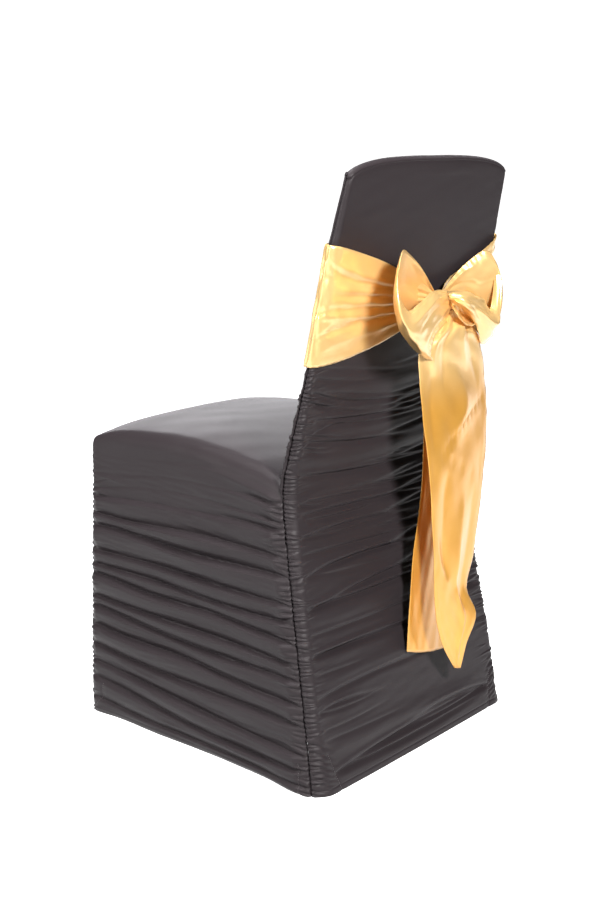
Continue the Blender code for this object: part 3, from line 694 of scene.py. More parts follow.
BACK_HALF_WRAP = 8
BACK_SHARES = steps((0.20, 20), (0.30, 3), (1.0, 9))
GATHERED_ROWS, SMOOTH_ROWS = 740, 54
BACK_PITCH = 0.80           # how much closer the back's gathers are than the side's
LEFT_REACH, RIGHT_REACH = 0.021, 0.030      # how far they reach from its seams
REST_TIGHT, LEG_TIGHT = 1.10, 0.90          # their depth over the backrest and over the legs
REST_CALM, LEG_CALM = 0.010, 0.022          # how near the seams the creases come there
BACK_RIPPLE = (0.00010, 0.14, 0.030)
SMOOTH_DEPTH, SMOOTH_PITCH, SMOOTH_REACH = 0.3, 1.6, 0.008  # the faint gathers above those


def back_columns():
    """Columns of the outer back's left half: place on the wrap, then share of the width."""
    wrap = np.linspace(1.0, 0.0, BACK_HALF_WRAP + 1)[:-1]
    return (
        np.concatenate((wrap, np.zeros(len(BACK_SHARES)))),
        np.concatenate((np.ones(len(wrap)), 1.0 - BACK_SHARES)),
    )


def far_creases():
    """Creases from the other seam, which answer those that cross the middle."""
    return tuple(
        (-start, min(-end, FAR_CREASE_END), *(FAR_CREASE_SHIFT + z for z in line), depth, width)
        for start, end, *line, depth, width in BACK_CREASES if end < FAR_CREASE_END
    )


def back_grid(settings):
    """The outer back, from the hem to the top seam, wrapped round both corners."""
    wrap, size = back_columns()
    wrap = np.concatenate((wrap, wrap[-2::-1]))
    share = np.concatenate((size, -size[-2::-1]))
    rows = steps((GATHERS_END, GATHERED_ROWS), (1.0, SMOOTH_ROWS))[:, None]
    top = (top_z(share) - TOP_SEAM_DROP)[None, :]
    z = np.where(rows < GATHERS_END, rows, GATHERS_END + (rows - GATHERS_END)
                 / (1.0 - GATHERS_END) * (top - GATHERS_END))
    wrap, share = np.tile(wrap, (len(z), 1)), np.tile(share, (len(z), 1))
    size, side = np.abs(share), np.sign(share)
    crown = BACK_CROWN * (1.0 - size ** 2)
    x, y = rounded(half_width(z) * size, back_y(z) + crown, z, REAR, END)
    x_side, y_side = rounded(half_width(z), back_y(z) - wrap * wrap_depth(z), z, REAR, SIDE)
    on_wrap = wrap > 0.0
    x, y = np.where(on_wrap, x_side, x), np.where(on_wrap, y_side, y)
    grid = np.stack((x * side, y, z), axis=-1)
    from_seam = np.where(on_wrap, (1.0 - wrap) * wrap_depth(z),
                         wrap_depth(z) + (1.0 - size) * half_width(z))
    corner = np.where(z > KINK_Z, REST_CALM, LEG_CALM)
    calm = smooth((from_seam - corner) / 0.016)
    creases = pinch_heights(grid[..., 0], z, BACK_CREASES + far_creases())
    heights = settings.crease_depth * creases * calm
    heights += settings.crease_depth * crease_heights(grid[..., 0], z, BACK_SWELLS, 2.0) * calm
    heights += crease_heights(grid[..., 0], z, TOP_CREASES, 1.6)
    heights += ripple_heights(grid[..., 0], z, 41, *BACK_RIPPLE) * calm
    gathered = smooth((GATHERS_END + 0.004 - z) / 0.02)
    depth, pitch = settings.gather_depth, settings.gather_pitch
    height_factor = np.where(z > KINK_Z, REST_TIGHT, LEG_TIGHT)
    left = gather_heights(z, from_seam, 42, BACK_PITCH * pitch, depth, LEFT_REACH)
    right = gather_heights(z, from_seam, 43, BACK_PITCH * pitch, depth, RIGHT_REACH)
    heights += gathered * height_factor * np.where(side > 0, left, right)
    faint = gather_heights(z, from_seam, 44, SMOOTH_PITCH * pitch, depth, SMOOTH_REACH)
    heights += (1.0 - gathered) * SMOOTH_DEPTH * faint
    heights -= seam_dip(from_seam) + TOP_SEAM_DIP * np.exp(-(top - z) / 0.002) + hem_dip(z)
    reach = np.abs(grid[..., 0])
    heights += pinch_heights(reach, z, FOOT_FANS)
    heights -= FOOT_SEAM_DIP * seam_line(reach, z, BACK_FOOT_SEAM)
    return raised(grid, heights)


INNER_SIDE = 7
INNER_SHARES = steps((0.10, 9), (0.26, 6), (1.0, 12))
INNER_ROWS, CREST_ROWS = 130, 8
CREST_FULLNESS = 4.14       # how fully the cloth turns over the top edge
INNER_RIPPLE = (0.00016, 0.18, 0.05)
INNER_REACH = 0.014         # how far the inner back's gathers reach
SEAT_PUFF, SEAT_PUFF_PITCH = 0.0007, 0.017  # small puffs along the seam with the seat
LOW_SHARE, LOW_ROWS = 0.36, 84      # most rows lie in the gathered part
FOOT_BLEND = 0.018          # the seat's seam shapes the cloth over it this far up


def inner_face(z, lead, size):
    """The inner back at a height: lead runs over its side edge, size over its width."""
    depth, wrap, rounding = rest_depth(z), wrap_depth(z), inner_rounding(z)
    on_edge = lead > 0.0
    near = np.where(on_edge, (wrap - depth) * lead, (1.0 - size) * half_width(z))
    bend = 0.25 * np.pi * (1.0 + np.clip(near / rounding, -1.0, 1.0))
    across, along = rounding * (1.0 - np.cos(bend)), rounding * (1.0 - np.sin(bend))
    x = np.where(near < rounding, half_width(z) - across, half_width(z) * size)
    front = -depth - INNER_BACK_CROWN * (1.0 - size * size) + along
    turned = np.where(near > -rounding, along - depth, -wrap - (depth - wrap) * (1.0 - lead))
    return np.stack((x, back_y(z) + np.where(on_edge, turned, front), z), axis=-1)


def over_the_top(last, lead, size):
    """Rows that turn from the inner back's last row over the top edge to its seam."""
    z = top_z(size) - TOP_SEAM_DROP
    on_edge = lead > 0.0
    side = rounded(half_width(z), back_y(z) - wrap_depth(z) * lead, z, REAR, SIDE)
    end = rounded(half_width(z) * size, back_y(z) + BACK_CROWN * (1.0 - size ** 2), z, REAR, END)
    seam = np.stack((*(np.where(on_edge, *pair) for pair in zip(side, end)), z), axis=-1)
    turn = np.linspace(0.0, 1.0, CREST_ROWS + 1)[1:, None]
    rows = last + (seam - last) * turn[..., None]
    lift = CREST_FULLNESS * (top_z(size) - np.maximum(last[:, 2], z))
    rows[..., 2] = last[:, 2] + (z - last[:, 2]) * turn ** 0.5 + lift * turn * (1.0 - turn)
    return rows


def inner_back_grid(settings):
    """The inner back, from the seat over the top line to the top seam."""
    lead = np.concatenate((np.linspace(1.0, 0.0, INNER_SIDE + 1)[:-1], np.zeros(len(INNER_SHARES))))
    size = np.concatenate((np.ones(INNER_SIDE), 1.0 - INNER_SHARES))
    edge, rounding, _ = (float(each) for each in seat_edge(np.array(1.0)))
    half = half_width(edge - rounding)
    reach = (1.0 - size) * half
    turn = np.where(lead > 0.0, -lead, np.clip(reach / rounding, 0.0, 1.0))
    share = np.where(reach > rounding, (half - reach) / (half - rounding), 1.0)
    foot = seat_section(0.25 * np.pi * (1.0 + turn), share, np.ones_like(turn), seat_rear_y)
    rise = steps((LOW_SHARE, LOW_ROWS), (1.0, INNER_ROWS - LOW_ROWS))[:, None]
    crest = top_z(size) - 0.5 * rest_depth(TOP_Z)
    z = foot[:, 2] + rise * (crest - foot[:, 2])
    grid = inner_face(z, lead, size)
    grid = grid + (foot - grid[0]) * np.exp(-((z - z[0]) / FOOT_BLEND) ** 2)[..., None]
    grid[0] = foot
    grid = np.concatenate((grid, over_the_top(grid[-1], lead, size)))
    from_seam = np.where(lead > 0.0, (1.0 - lead) * INNER_REACH, INNER_REACH + (1.0 - size) * 0.2)
    from_seam = np.tile(from_seam, (len(grid), 1))
    z = grid[..., 2]
    gathered = smooth((GATHERS_END + 0.004 - z) / 0.02)
    still = smooth(np.arange(len(grid))[::-1, None] / 10.0)
    heights = ripple_heights(grid[..., 0], z, 51, *INNER_RIPPLE) * still - seam_dip(from_seam)
    near_seat = SEAT_PUFF * np.exp(-((z - grid[0, :, 2]) / 0.02) ** 2) * still
    heights += near_seat * np.sin(grid[..., 0] * 2 * np.pi / SEAT_PUFF_PITCH) ** 2
    halves = []
    for seed in (42, 43):
        puffs = gather_heights(z, from_seam, seed, BACK_PITCH * settings.gather_pitch,
                               settings.gather_depth, INNER_REACH) * gathered
        halves.append(raised(grid[:, ::-1], (puffs + heights)[:, ::-1]))
    left, right = halves
    return np.concatenate((right[:, ::-1] * (-1, 1, 1), left[:, 1:]), axis=1)


# ---- Foot pockets ------------------------------------------------------------
POCKET_GAP = 0.0035
POCKET_WING = 0.045
POCKET_HEIGHT = 0.062
POCKET_SOLE = 0.016
POCKET_BOTTOM = 0.0006
POCKET_PUFFS, POCKET_PUFF = 26, 0.0011      # puffs along its upper edge, and how deep


def pocket_grid(rear):
    """A left foot pocket: a cup of cloth inside the hem, from its sole to its upper edge."""
    place = np.concatenate((np.linspace(-1.0, -0.35, 9), np.linspace(-0.35, 0.35, 14)[1:],
                            np.linspace(0.35, 1.0, 9)[1:]))
    rise = np.linspace(0.0, 1.0, 22)
    z = np.tile(POCKET_BOTTOM + rise[:, None] * POCKET_HEIGHT, (1, len(place)))
    reach = np.tile(np.abs(place) * POCKET_WING, (len(rise), 1))
    if rear:
        side = rounded(half_width(z), back_y(z) - reach, z, REAR, SIDE)
        end = rounded(half_width(z) - reach, back_y(z), z, REAR, END)
    else:
        side = rounded(front_half(z), FRONT_Y + reach, z, FRONT, SIDE)
        end = rounded(front_half(z) - reach, np.full_like(z, FRONT_Y), z, FRONT, END)
    grid = np.stack((*(np.where(place > 0.0, *pair) for pair in zip(side, end)), z), axis=-1)
    if rear:
        grid = grid[:, ::-1]
    wall = raised(grid, np.full_like(z, -POCKET_GAP))
    turns = np.linspace(0, POCKET_PUFFS * np.pi, wall.shape[1])
    puffs = POCKET_PUFF * np.sin(turns) ** 2 * rise[:, None] ** 4
    wall = raised(wall, -puffs)
    inward = -unit(normals(wall)[0] * (1, 1, 0))
    sole = [wall[0] + inward * POCKET_SOLE * share for share in (1.0, 0.75, 0.5, 0.25, 0.08)]
    return np.concatenate((np.array(sole), wall))


# ---- Sash --------------------------------------------------------------------
SATIN = 0.0009
SASH_HEM = 0.0075
PUCKER, PUCKER_PITCH, PUCKER_DRIFT = 0.00036, 0.0105, 0.067     # waves along the sash's hems
GROOVE, GROOVE_WIDTH = 0.00035, 0.0015      # which its stitches draw in
KNOT_CENTRE = (-0.030, 0.236, 0.706)
KNOT_RADII = (0.013, 0.018, 0.017)
KNOT_LEAN = 0.35
KNOT_RINGS, KNOT_SEGMENTS = 40, 56
KNOT_TURNS, KNOT_SLANT = 2.6, 0.25          # how often its pleats go to and fro
KNOT_FLOOR, KNOT_PLEAT, KNOT_POLE = 0.90, 0.13, 0.92        # shares of its radii
PAINTED_REFLECTION_START_Z, PAINTED_REFLECTION_FULL_Z = 0.540, 0.640     # the satin is painted paler and whiter between these heights, a painted reflection on its tied part

# The band on one side of the knot, as it goes round to the middle of the inner back.
BAND = metres((
    # share of the way to the side, share of the depth, off x, off y, top, bottom
    (0.02, 0.0, 0, 29, 715, 697),
    (0.14, 0.0, 0, 19, 735, 680),
    (0.29, 0.0, 0, 10, 752, 660),
    (0.52, 0.0, 0, 7.8, 772, 645),
    (0.76, 0.0, 0, 6.8, 788, 635),
    (0.95, 0.0, 0, 4.7, 799, 631),
    (1.0, 0.2, 3.6, 0, 802, 631),
    (1.0, 0.7, 3.4, 0, 803, 631),
    (0.96, 1.0, 0, -4.5, 804, 632),
    (0.55, 1.0, 0, -6, 803, 633),
    (0.0, 1.0, 0, -6, 803, 633),
), shares=2)
RIGHT_BAND_DROP = (0.006, 0.060)    # how much lower the right side's upper hem lies
# Pleats of the band: they gather towards the knot.
BAND_PLEATS = (
    # start, end, place across at start, middle and end, out, width
    (0.0, 6.4, 0.9, 0.8, 0.94, -2.2, 0.03),
    (0.0, 5.8, 0.78, 0.72, 0.85, 3.8, 0.045),
    (0.0, 4.8, 0.66, 0.66, 0.66, -2, 0.028),
    (0.0, 5.2, 0.6, 0.6, 0.6, 3.2, 0.03),
    (0.0, 4.6, 0.52, 0.55, 0.54, -1.8, 0.026),
    (0.0, 5.6, 0.44, 0.48, 0.48, 2.6, 0.03),
    (0.0, 6.6, 0.34, 0.4, 0.43, -2.6, 0.024),
    (0.0, 6.0, 0.28, 0.34, 0.22, 5.4, 0.038),
    (0.0, 5.2, 0.16, 0.22, 0.14, -1.8, 0.035),
    (5.4, 6.9, 0.46, 0.45, 0.44, 4.2, 0.026),
    (3.2, 6.8, 0.7, 0.74, 0.76, 3.2, 0.06),
)
LEFT_LOOP = (
    # upper hem, middle, lower hem
    ((-28, 224, 716), (-33, 222, 706), (-38, 224, 696)),
    ((18, 230, 757), (-22, 209, 699), (-64, 207, 648)),
    ((83, 252, 785), (38, 222, 698), (-55, 214, 630)),
    ((131, 274, 791), (113, 256, 690), (-18, 236, 616)),
    ((160, 288, 748), (142, 292, 682), (32, 262, 628)),
    ((135, 287, 713), (129, 299, 682), (58, 275, 646)),
    ((97, 282, 720), (95, 293, 698), (45, 274, 669)),
    ((47, 270, 731), (49, 281, 713), (3, 262, 679)),
    ((-8, 255, 726), (-3, 263, 713), (-25, 251, 691)),
)
RIGHT_LOOP = (
    ((-33, 226, 716), (-36, 224, 705), (-39, 224, 696)),
    ((-75, 231, 749), (-86, 232, 715), (-125, 219, 664)),
    ((-97, 241, 767), (-113, 247, 711), (-155, 226, 640)),
    ((-117, 251, 777), (-139, 264, 725), (-162, 244, 648)),
    ((-134, 257, 759), (-136, 272, 698), (-134, 249, 636)),
    ((-114, 265, 692), (-109, 278, 668), (-102, 257, 637)),
    ((-72, 277, 710), (-55, 284, 690), (-69, 271, 665)),
    ((-29, 276, 724), (-7, 291, 711), (-42, 272, 689)),
    ((-9, 256, 725), (4, 270, 717), (-23, 258, 705)),
)
# The small open fold that the knot squeezes out over the tails.
KNOT_FOLD = (
    ((-5, 259, 721), (-3, 264, 716), (-15, 256, 707)),
    ((4, 282, 713), (-14, 269, 703), (-5, 274, 696)),
    ((-12, 289, 704), (-43, 264, 689), (-13, 279, 684)),
    ((-38, 286, 689), (-63, 264, 679), (-27, 279, 676)),
    ((-55, 278, 678), (-61, 273, 673), (-50, 274, 671)),
)
FRONT_TAIL = (
    ((-24, 248, 697), (-31, 250, 696), (-39, 248, 695)),
    ((20, 256, 672), (-15, 270, 672), (-80, 258, 665)),
    ((58, 256, 649), (-2, 269, 645), (-103, 256, 634)),
    ((52, 252, 600), (-24, 260, 588), (-130, 250, 568)),
    ((44, 257, 526), (-30, 263, 516), (-132, 253, 502)),
    ((28, 258, 440), (-36, 262, 430), (-124, 254, 416)),
    ((10, 255, 325), (-36, 258, 316), (-106, 252, 300)),
    ((3, 253, 262), (-38, 258, 255), (-86, 254, 249)),
    ((-8, 251, 213), (-50, 259, 207), (-97, 266, 206)),
    ((-29, 250, 166), (-54, 256, 163), (-79, 262, 162)),
    ((-62, 250, 121), (-68, 252, 119), (-74, 254, 118)),
)
BACK_TAIL = (
    ((-26, 232, 698), (-33, 232, 697), (-40, 232, 697)),
    ((-18, 230, 642), (-50, 232, 639), (-84, 230, 634)),
    ((-7, 222, 561), (-50, 223, 556), (-100, 222, 547)),
    ((-18, 211, 422), (-62, 214, 413), (-113, 212, 402)),
    ((0, 209, 300), (-58, 212, 290), (-117, 209, 278)),
    ((10, 208, 159), (-48, 212, 143), (-109, 211, 137)),
)
# Pleats and creases along the strips: start and end row of the table, place across
# at start, middle and end, out, width as a share of the strip.
LEFT_LOOP_PLEATS = (
    (0.6, 3.4, 0.3, 0.26, 0.22, 2.2, 0.1),
    (0.0, 2.4, 0.68, 0.7, 0.72, 2.7, 0.07),
    (5.0, 8.0, 0.3, 0.34, 0.3, 1.9, 0.07),
    (5.2, 8.0, 0.56, 0.56, 0.52, -2.2, 0.07),
    (4.6, 8.0, 0.8, 0.8, 0.74, 2.7, 0.07),
)
RIGHT_LOOP_PLEATS = (
    (0.0, 2.8, 0.3, 0.34, 0.46, -2.8, 0.05),
    (0.0, 2.2, 0.12, 0.12, 0.1, 2.5, 0.05),
    (4.6, 6.3, 0.44, 0.48, 0.44, -7.5, 0.1),
    (5.8, 8.0, 0.3, 0.28, 0.24, 2, 0.06),
    (6.0, 8.0, 0.72, 0.66, 0.58, -2, 0.06),
)
FRONT_TAIL_PLEATS = (
    (0.0, 2.8, 0.3, 0.26, 0.2, -3.6, 0.05),
    (0.0, 3.2, 0.46, 0.42, 0.36, 4.4, 0.06),
    (0.0, 2.6, 0.62, 0.66, 0.72, -4, 0.05),
    (0.2, 3.0, 0.78, 0.82, 0.86, 3.6, 0.05),
    (2.6, 4.2, 0.5, 0.62, 0.46, -7.5, 0.15),
    (2.8, 4.4, 0.2, 0.16, 0.14, 4, 0.1),
    (3.2, 4.6, 0.98, 0.6, 0.22, 3.4, 0.024),
    (4.5, 4.9, 0.3, 0.55, 0.85, 1.6, 0.05),
    (4.8, 6.6, 0.36, 0.3, 0.4, 5.2, 0.12),
    (5.2, 6.8, 0.66, 0.62, 0.6, -5, 0.12),
    (6.6, 10.0, 0.62, 0.66, 0.5, -4.8, 0.07),
    (5.0, 9.4, 0.85, 0.8, 0.74, 3, 0.09),
)
BACK_TAIL_PLEATS = (
    (0.0, 2.2, 0.3, 0.3, 0.3, 3.3, 0.06),
    (0.0, 2.6, 0.62, 0.66, 0.7, -3.3, 0.06),
    (2.8, 5.0, 0.55, 0.62, 0.72, 2.4, 0.1),
)


def strip_grid(table, rows, columns, pleats, seed):
    """A strip of satin through the rows of its table, with its pleats."""
    values = np.array(table) / 1000
    at = np.linspace(0.0, len(table) - 1.0, rows)
    curve = spline(np.arange(len(table)), values, at)
    places = np.linspace(0.0, 1.0, columns)
    lines = through(curve.transpose(1, 0, 2)[:, :, None, :], places[None, :, None])
    return pleated(lines, at, places, pleats, seed)


def pleated(grid, at, places, pleats, seed):
    """The strip with its pleats, and the pucker along its stitched hems."""
    rng = np.random.default_rng(seed)
    rows, across = np.meshgrid(at, places, indexing="ij")
    heights = crease_heights(rows, across, pleats, 1.5) / 1000
    heights += ripple_heights(rows * 0.08, across * 0.17, seed, 0.00030, 0.10, 0.06)
    width = np.linalg.norm(np.diff(grid, axis=1), axis=-1).sum(axis=1)[:, None]
    along = np.linalg.norm(np.diff(grid, axis=0, prepend=grid[:1]), axis=-1).cumsum(axis=0)
    for edge in (across, 1.0 - across):
        way = edge * np.maximum(width, 0.02)
        drift = 1.4 * np.sin(2 * np.pi * along / PUCKER_DRIFT + rng.uniform(0, 6))
        pucker = PUCKER * np.sin(2 * np.pi * along / PUCKER_PITCH + drift)
        pucker = pucker * np.exp(-((way - 0.5 * SASH_HEM) / (1.4 * SASH_HEM)) ** 2)
        groove = -GROOVE * np.exp(-((way - SASH_HEM) / GROOVE_WIDTH) ** 2)
        heights += (pucker + groove) * smooth((width - 0.03) / 0.05)
    return raised(grid, heights)


BAND_STEPS = (380, 44)
STRIPS = {
    # table, rows, columns, pleats, seed
    "loop_left": (LEFT_LOOP, 130, 46, LEFT_LOOP_PLEATS, 71),
    "loop_right": (RIGHT_LOOP, 130, 46, RIGHT_LOOP_PLEATS, 72),
    "knot_fold": (KNOT_FOLD, 60, 26, (), 75),
    "tail_front": (FRONT_TAIL, 170, 46, FRONT_TAIL_PLEATS, 73),
    "tail_back": (BACK_TAIL, 150, 42, BACK_TAIL_PLEATS, 74),
}


def band_line(side, share, depth, off_x, off_y, top, bottom, places):
    """One line across the band, from its lower hem to its upper one."""
    if side < 0:
        bow = share * (1.0 - share) if depth < 1.0 else 0.0
        top = top - RIGHT_BAND_DROP[0] * share - RIGHT_BAND_DROP[1] * bow
    height = bottom + (top - bottom) * places
    edge = half_width(height) + off_x
    start = KNOT_CENTRE[0] if depth < 1.0 else 0.0
    x = start + (side * edge - start) * share
    y = back_y(height) - depth * rest_depth(height) + off_y
    if depth == 1.0:
        y = y - INNER_BACK_CROWN * (1.0 - share * share)
    return np.stack((x, y, height), axis=-1)


def band_grid(rows, columns):
    """The band, from the knot round the right side and the inner back to the knot again."""
    places = np.linspace(0.0, 1.0, columns)
    right, left = ([band_line(side, *row, places) for row in BAND] for side in (-1, 1))
    lines = right + left[-2::-1]
    last = len(lines) - 1.0
    at = np.linspace(0.0, last, rows)
    grid = spline(np.arange(len(lines)), np.array(lines), at)
    return pleated(grid, np.minimum(at, last - at), places, BAND_PLEATS, 61)


def knot_data():
    """The knot: pleats of satin wound over a leaning bulk."""
    rings, segments = KNOT_RINGS, KNOT_SEGMENTS
    polar = np.linspace(0.0, np.pi, rings + 1)[1:-1, None]
    turn = np.linspace(0.0, 2 * np.pi, segments, endpoint=False)[None, :]
    ball = np.stack((np.sin(polar) * np.cos(turn), np.sin(polar) * np.sin(turn),
                     np.cos(polar) * np.ones_like(turn)), axis=-1)
    way = ball[..., 0] + KNOT_SLANT * ball[..., 2]
    pleat = np.abs(np.sin(KNOT_TURNS * np.pi * way + 0.4)) ** 0.8
    ball = ball * (KNOT_FLOOR + KNOT_PLEAT * pleat * (1.0 - ball[..., 2] ** 4))[..., None]
    points = np.concatenate((ball.reshape(-1, 3), [(0.0, 0.0, KNOT_POLE), (0.0, 0.0, -KNOT_POLE)]))
    points = points * KNOT_RADII
    lean = np.array(((np.cos(KNOT_LEAN), 0.0, -np.sin(KNOT_LEAN)), (0.0, 1.0, 0.0),
                     (np.sin(KNOT_LEAN), 0.0, np.cos(KNOT_LEAN))))
    points = points @ lean.T + KNOT_CENTRE
    number = np.arange((rings - 1) * segments).reshape(rings - 1, segments)
    after = np.roll(number, -1, axis=1)
    quads = np.stack((number[:-1], number[1:], after[1:], after[:-1]), axis=-1)
    faces = quads.reshape(-1, 4).tolist()
    north, south = len(points) - 2, len(points) - 1
    faces += [(int(a), int(b), north) for a, b in zip(number[0], after[0])]
    faces += [(int(b), int(a), south) for a, b in zip(number[-1], after[-1])]
    return points, faces, points[:, [0, 2]]


# ---- Shader sums -------------------------------------------------------------
class Value:
    """A value of a shader, which takes part in sums."""

    def __init__(self, shader, socket):
        self.shader, self.socket = shader, socket

    def sum(self, operation, *values):
        return self.shader.node("ShaderNodeMath", {"operation": operation}, *values)

    def __add__(self, other):
        return self.sum("ADD", self, other)

    def __mul__(self, other):
        return self.sum("MULTIPLY", self, other)

    __radd__, __rmul__ = __add__, __mul__


class Shader:
    """The node tree of one material."""

    def __init__(self, name):
        self.material = bpy.data.materials.new(name)
        self.material.use_nodes = True
        self.tree = self.material.node_tree
        self.surface = self.tree.nodes["Principled BSDF"]

    def put(self, socket, value):
        if isinstance(value, Value):
            self.tree.links.new(value.socket, socket)
        else:
            socket.default_value = value

    def node(self, kind, settings, *values, out=0, **named):
        node = self.tree.nodes.new(kind)
        for name, value in settings.items():
            setattr(node, name, value)
        for socket, value in zip(node.inputs, values):
            self.put(socket, value)
        for name, value in named.items():
            self.put(node.inputs[name.replace("_", " ")], value)
        return Value(self, node.outputs[out])

    def mix(self, share, first, second):
        """Mix two colours."""
        node = self.tree.nodes.new("ShaderNodeMix")
        node.data_type = "RGBA"
        for socket, value in zip((node.inputs[0], node.inputs[6], node.inputs[7]),
                                 (share, first, second)):
            self.put(socket, value)
        return Value(self, node.outputs[2])

    def places(self, out=3):
        """Where a point lies on its piece; out is 2 for the strip's own coordinates."""
        return self.node("ShaderNodeTexCoord", {}, out=out)

    def noise(self, place, scale, detail, roughness=0.5):
        return self.node("ShaderNodeTexNoise", {}, Vector=place, Scale=scale, Detail=detail,
                         Roughness=roughness)

    def coordinate(self, place, axis=2):
        """One coordinate of a place."""
        return self.node("ShaderNodeSeparateXYZ", {}, place, out=axis)

    def constants(self, **named):
        for name, value in named.items():
            self.surface.inputs[name.replace("_", " ")].default_value = value

    def feed(self, **named):
        for name, value in named.items():
            self.tree.links.new(value.socket, self.surface.inputs[name.replace("_", " ")])


def tinted(colour, *shares):
    return (*(each * share for each, share in zip(colour, shares)), 1.0)


def cover_cloth(colour):
    """Matt charcoal stretch knit with a soft sheen."""
    shader = Shader("cover_stretch_knit")
    place = shader.places()
    strip = shader.places(2)
    cloud = shader.noise(place, 9.0, 3.0, 0.55)
    fuzz = shader.noise(place, 420.0, 2.0, 0.6)
    ribs = shader.node("ShaderNodeTexWave", {"wave_type": "BANDS", "bands_direction": "X"},
                       Vector=strip, Scale=260.0, Distortion=1.5, Detail=1.0, Detail_Scale=4.0)
    dark, light = tinted(colour, 0.80, 0.78, 0.80), tinted(colour, 1.18, 1.20, 1.22)
    shade = 0.65 * cloud + 0.20 * fuzz + 0.15 * ribs
    shader.feed(Base_Color=shader.mix(shade, dark, light))
    shader.feed(Roughness=0.42 + 0.12 * fuzz)
    weave = shader.node("ShaderNodeBump", {}, Strength=0.16, Distance=0.0004,
                        Height=ribs + 0.8 * fuzz)
    shader.feed(Normal=weave)
    shader.constants(IOR=1.30, Sheen_Weight=0.04, Sheen_Roughness=0.35,
                     Sheen_Tint=(0.78, 0.72, 0.80, 1.0))
    return shader.material


def sash_satin(colour):
    """Golden satin: smooth, bright where it faces the lamps, deep in its folds; its tied part
    carries a painted reflection, painted paler and whiter than the tails.
    """
    shader = Shader("golden_satin")
    place = shader.places()
    strip = shader.places(2)
    cloud = shader.noise(place, 26.0, 2.0)
    drawn = shader.node("ShaderNodeMapping", {}, Vector=strip, Scale=(60.0, 900.0, 1.0))
    slub = shader.noise(drawn, 1.0, 2.0)
    # Painted reflection: the satin above the band's lower hem (band, knot, loops and the tails'
    # tops) is painted paler and whiter than the tails below, in place of the stronger reflections
    # it gets.
    height_factor = shader.node("ShaderNodeMapRange", {"interpolation_type": "SMOOTHSTEP"},
                        Value=shader.coordinate(place), From_Min=PAINTED_REFLECTION_START_Z,
                        From_Max=PAINTED_REFLECTION_FULL_Z)
    deep = shader.mix(height_factor, tinted(colour, 0.90, 0.76, 0.55), tinted(colour, 1.02, 1.18, 2.2))
    pale = shader.mix(height_factor, tinted(colour, 1.02, 0.98, 1.0), tinted(colour, 1.15, 1.42, 3.4))
    shader.feed(Base_Color=shader.mix(0.7 * cloud + 0.3 * slub, deep, pale))
    shader.feed(Roughness=0.30 + 0.07 * cloud)
    grain = shader.node("ShaderNodeBump", {}, Strength=0.10, Distance=0.0003, Height=slub)
    puckers = shader.noise(place, 70.0, 2.0)
    shader.feed(Normal=shader.node("ShaderNodeBump", {}, Strength=0.12, Distance=0.002,
                                   Height=puckers, Normal=grain))
    shader.constants(Metallic=0.48, IOR=1.55, Coat_Weight=0.6, Coat_IOR=1.6,
                     Coat_Roughness=0.24)
    return shader.material


def thread(name, colour):
    """Twisted sewing thread."""
    shader = Shader(name)
    place = shader.places()
    twist = shader.noise(place, 900.0, 1.0)
    shader.feed(Base_Color=shader.mix(twist, tinted(colour, 0.7, 0.7, 0.7), (*colour, 1.0)))
    shader.feed(Roughness=0.5 + 0.2 * twist)
    return shader.material


# ---- Stitches ----------------------------------------------------------------
HEM_STITCH = (0.0023, 0.0005)               # length and thickness
FOOT_STITCH = (0.0034, 0.0024, 0.0007)      # pitch, length and thickness


def stitch_tree(name):
    """Geometry nodes that lay short stitches along a path."""
    tree = bpy.data.node_groups.new(name, "GeometryNodeTree")
    sockets = {}
    tree.interface.new_socket("Geometry", in_out="OUTPUT", socket_type="NodeSocketGeometry")
    for label, kind in (("Path", "Geometry"), ("Pitch", "Float"), ("Length", "Float"),
                        ("Thickness", "Float"), ("Thread", "Material")):
        socket = tree.interface.new_socket(label, in_out="INPUT", socket_type=f"NodeSocket{kind}")
        sockets[label] = socket.identifier

    def add(kind, **settings):
        node = tree.nodes.new(kind)
        for key, value in settings.items():
            setattr(node, key, value)
        return node

    entry, leave = add("NodeGroupInput"), add("NodeGroupOutput")
    curve = add("GeometryNodeMeshToCurve")
    spaced = add("GeometryNodeCurveToPoints", mode="LENGTH")
    ball = add("GeometryNodeMeshIcoSphere")
    ball.inputs["Subdivisions"].default_value = 1
    ball.inputs["Radius"].default_value = 0.5
    size = add("ShaderNodeCombineXYZ")
    place = add("GeometryNodeInstanceOnPoints")
    real, finish = add("GeometryNodeRealizeInstances"), add("GeometryNodeSetMaterial")
    turn = add("FunctionNodeAlignRotationToVector", axis="X")
    for start, output, end, name_there in (
        (entry, "Path", curve, "Mesh"), (curve, "Curve", spaced, "Curve"),
        (entry, "Pitch", spaced, "Length"), (entry, "Length", size, "X"),
        (entry, "Thickness", size, "Y"), (entry, "Thickness", size, "Z"),
        (spaced, "Tangent", turn, "Vector"), (spaced, "Points", place, "Points"),
        (ball, "Mesh", place, "Instance"), (turn, "Rotation", place, "Rotation"),
        (size, "Vector", place, "Scale"), (place, "Instances", real, "Geometry"),
        (real, "Geometry", finish, "Geometry"), (entry, "Thread", finish, "Material"),
        (finish, "Geometry", leave, "Geometry"),
    ):
        tree.links.new(start.outputs[output], end.inputs[name_there])
    return tree, sockets


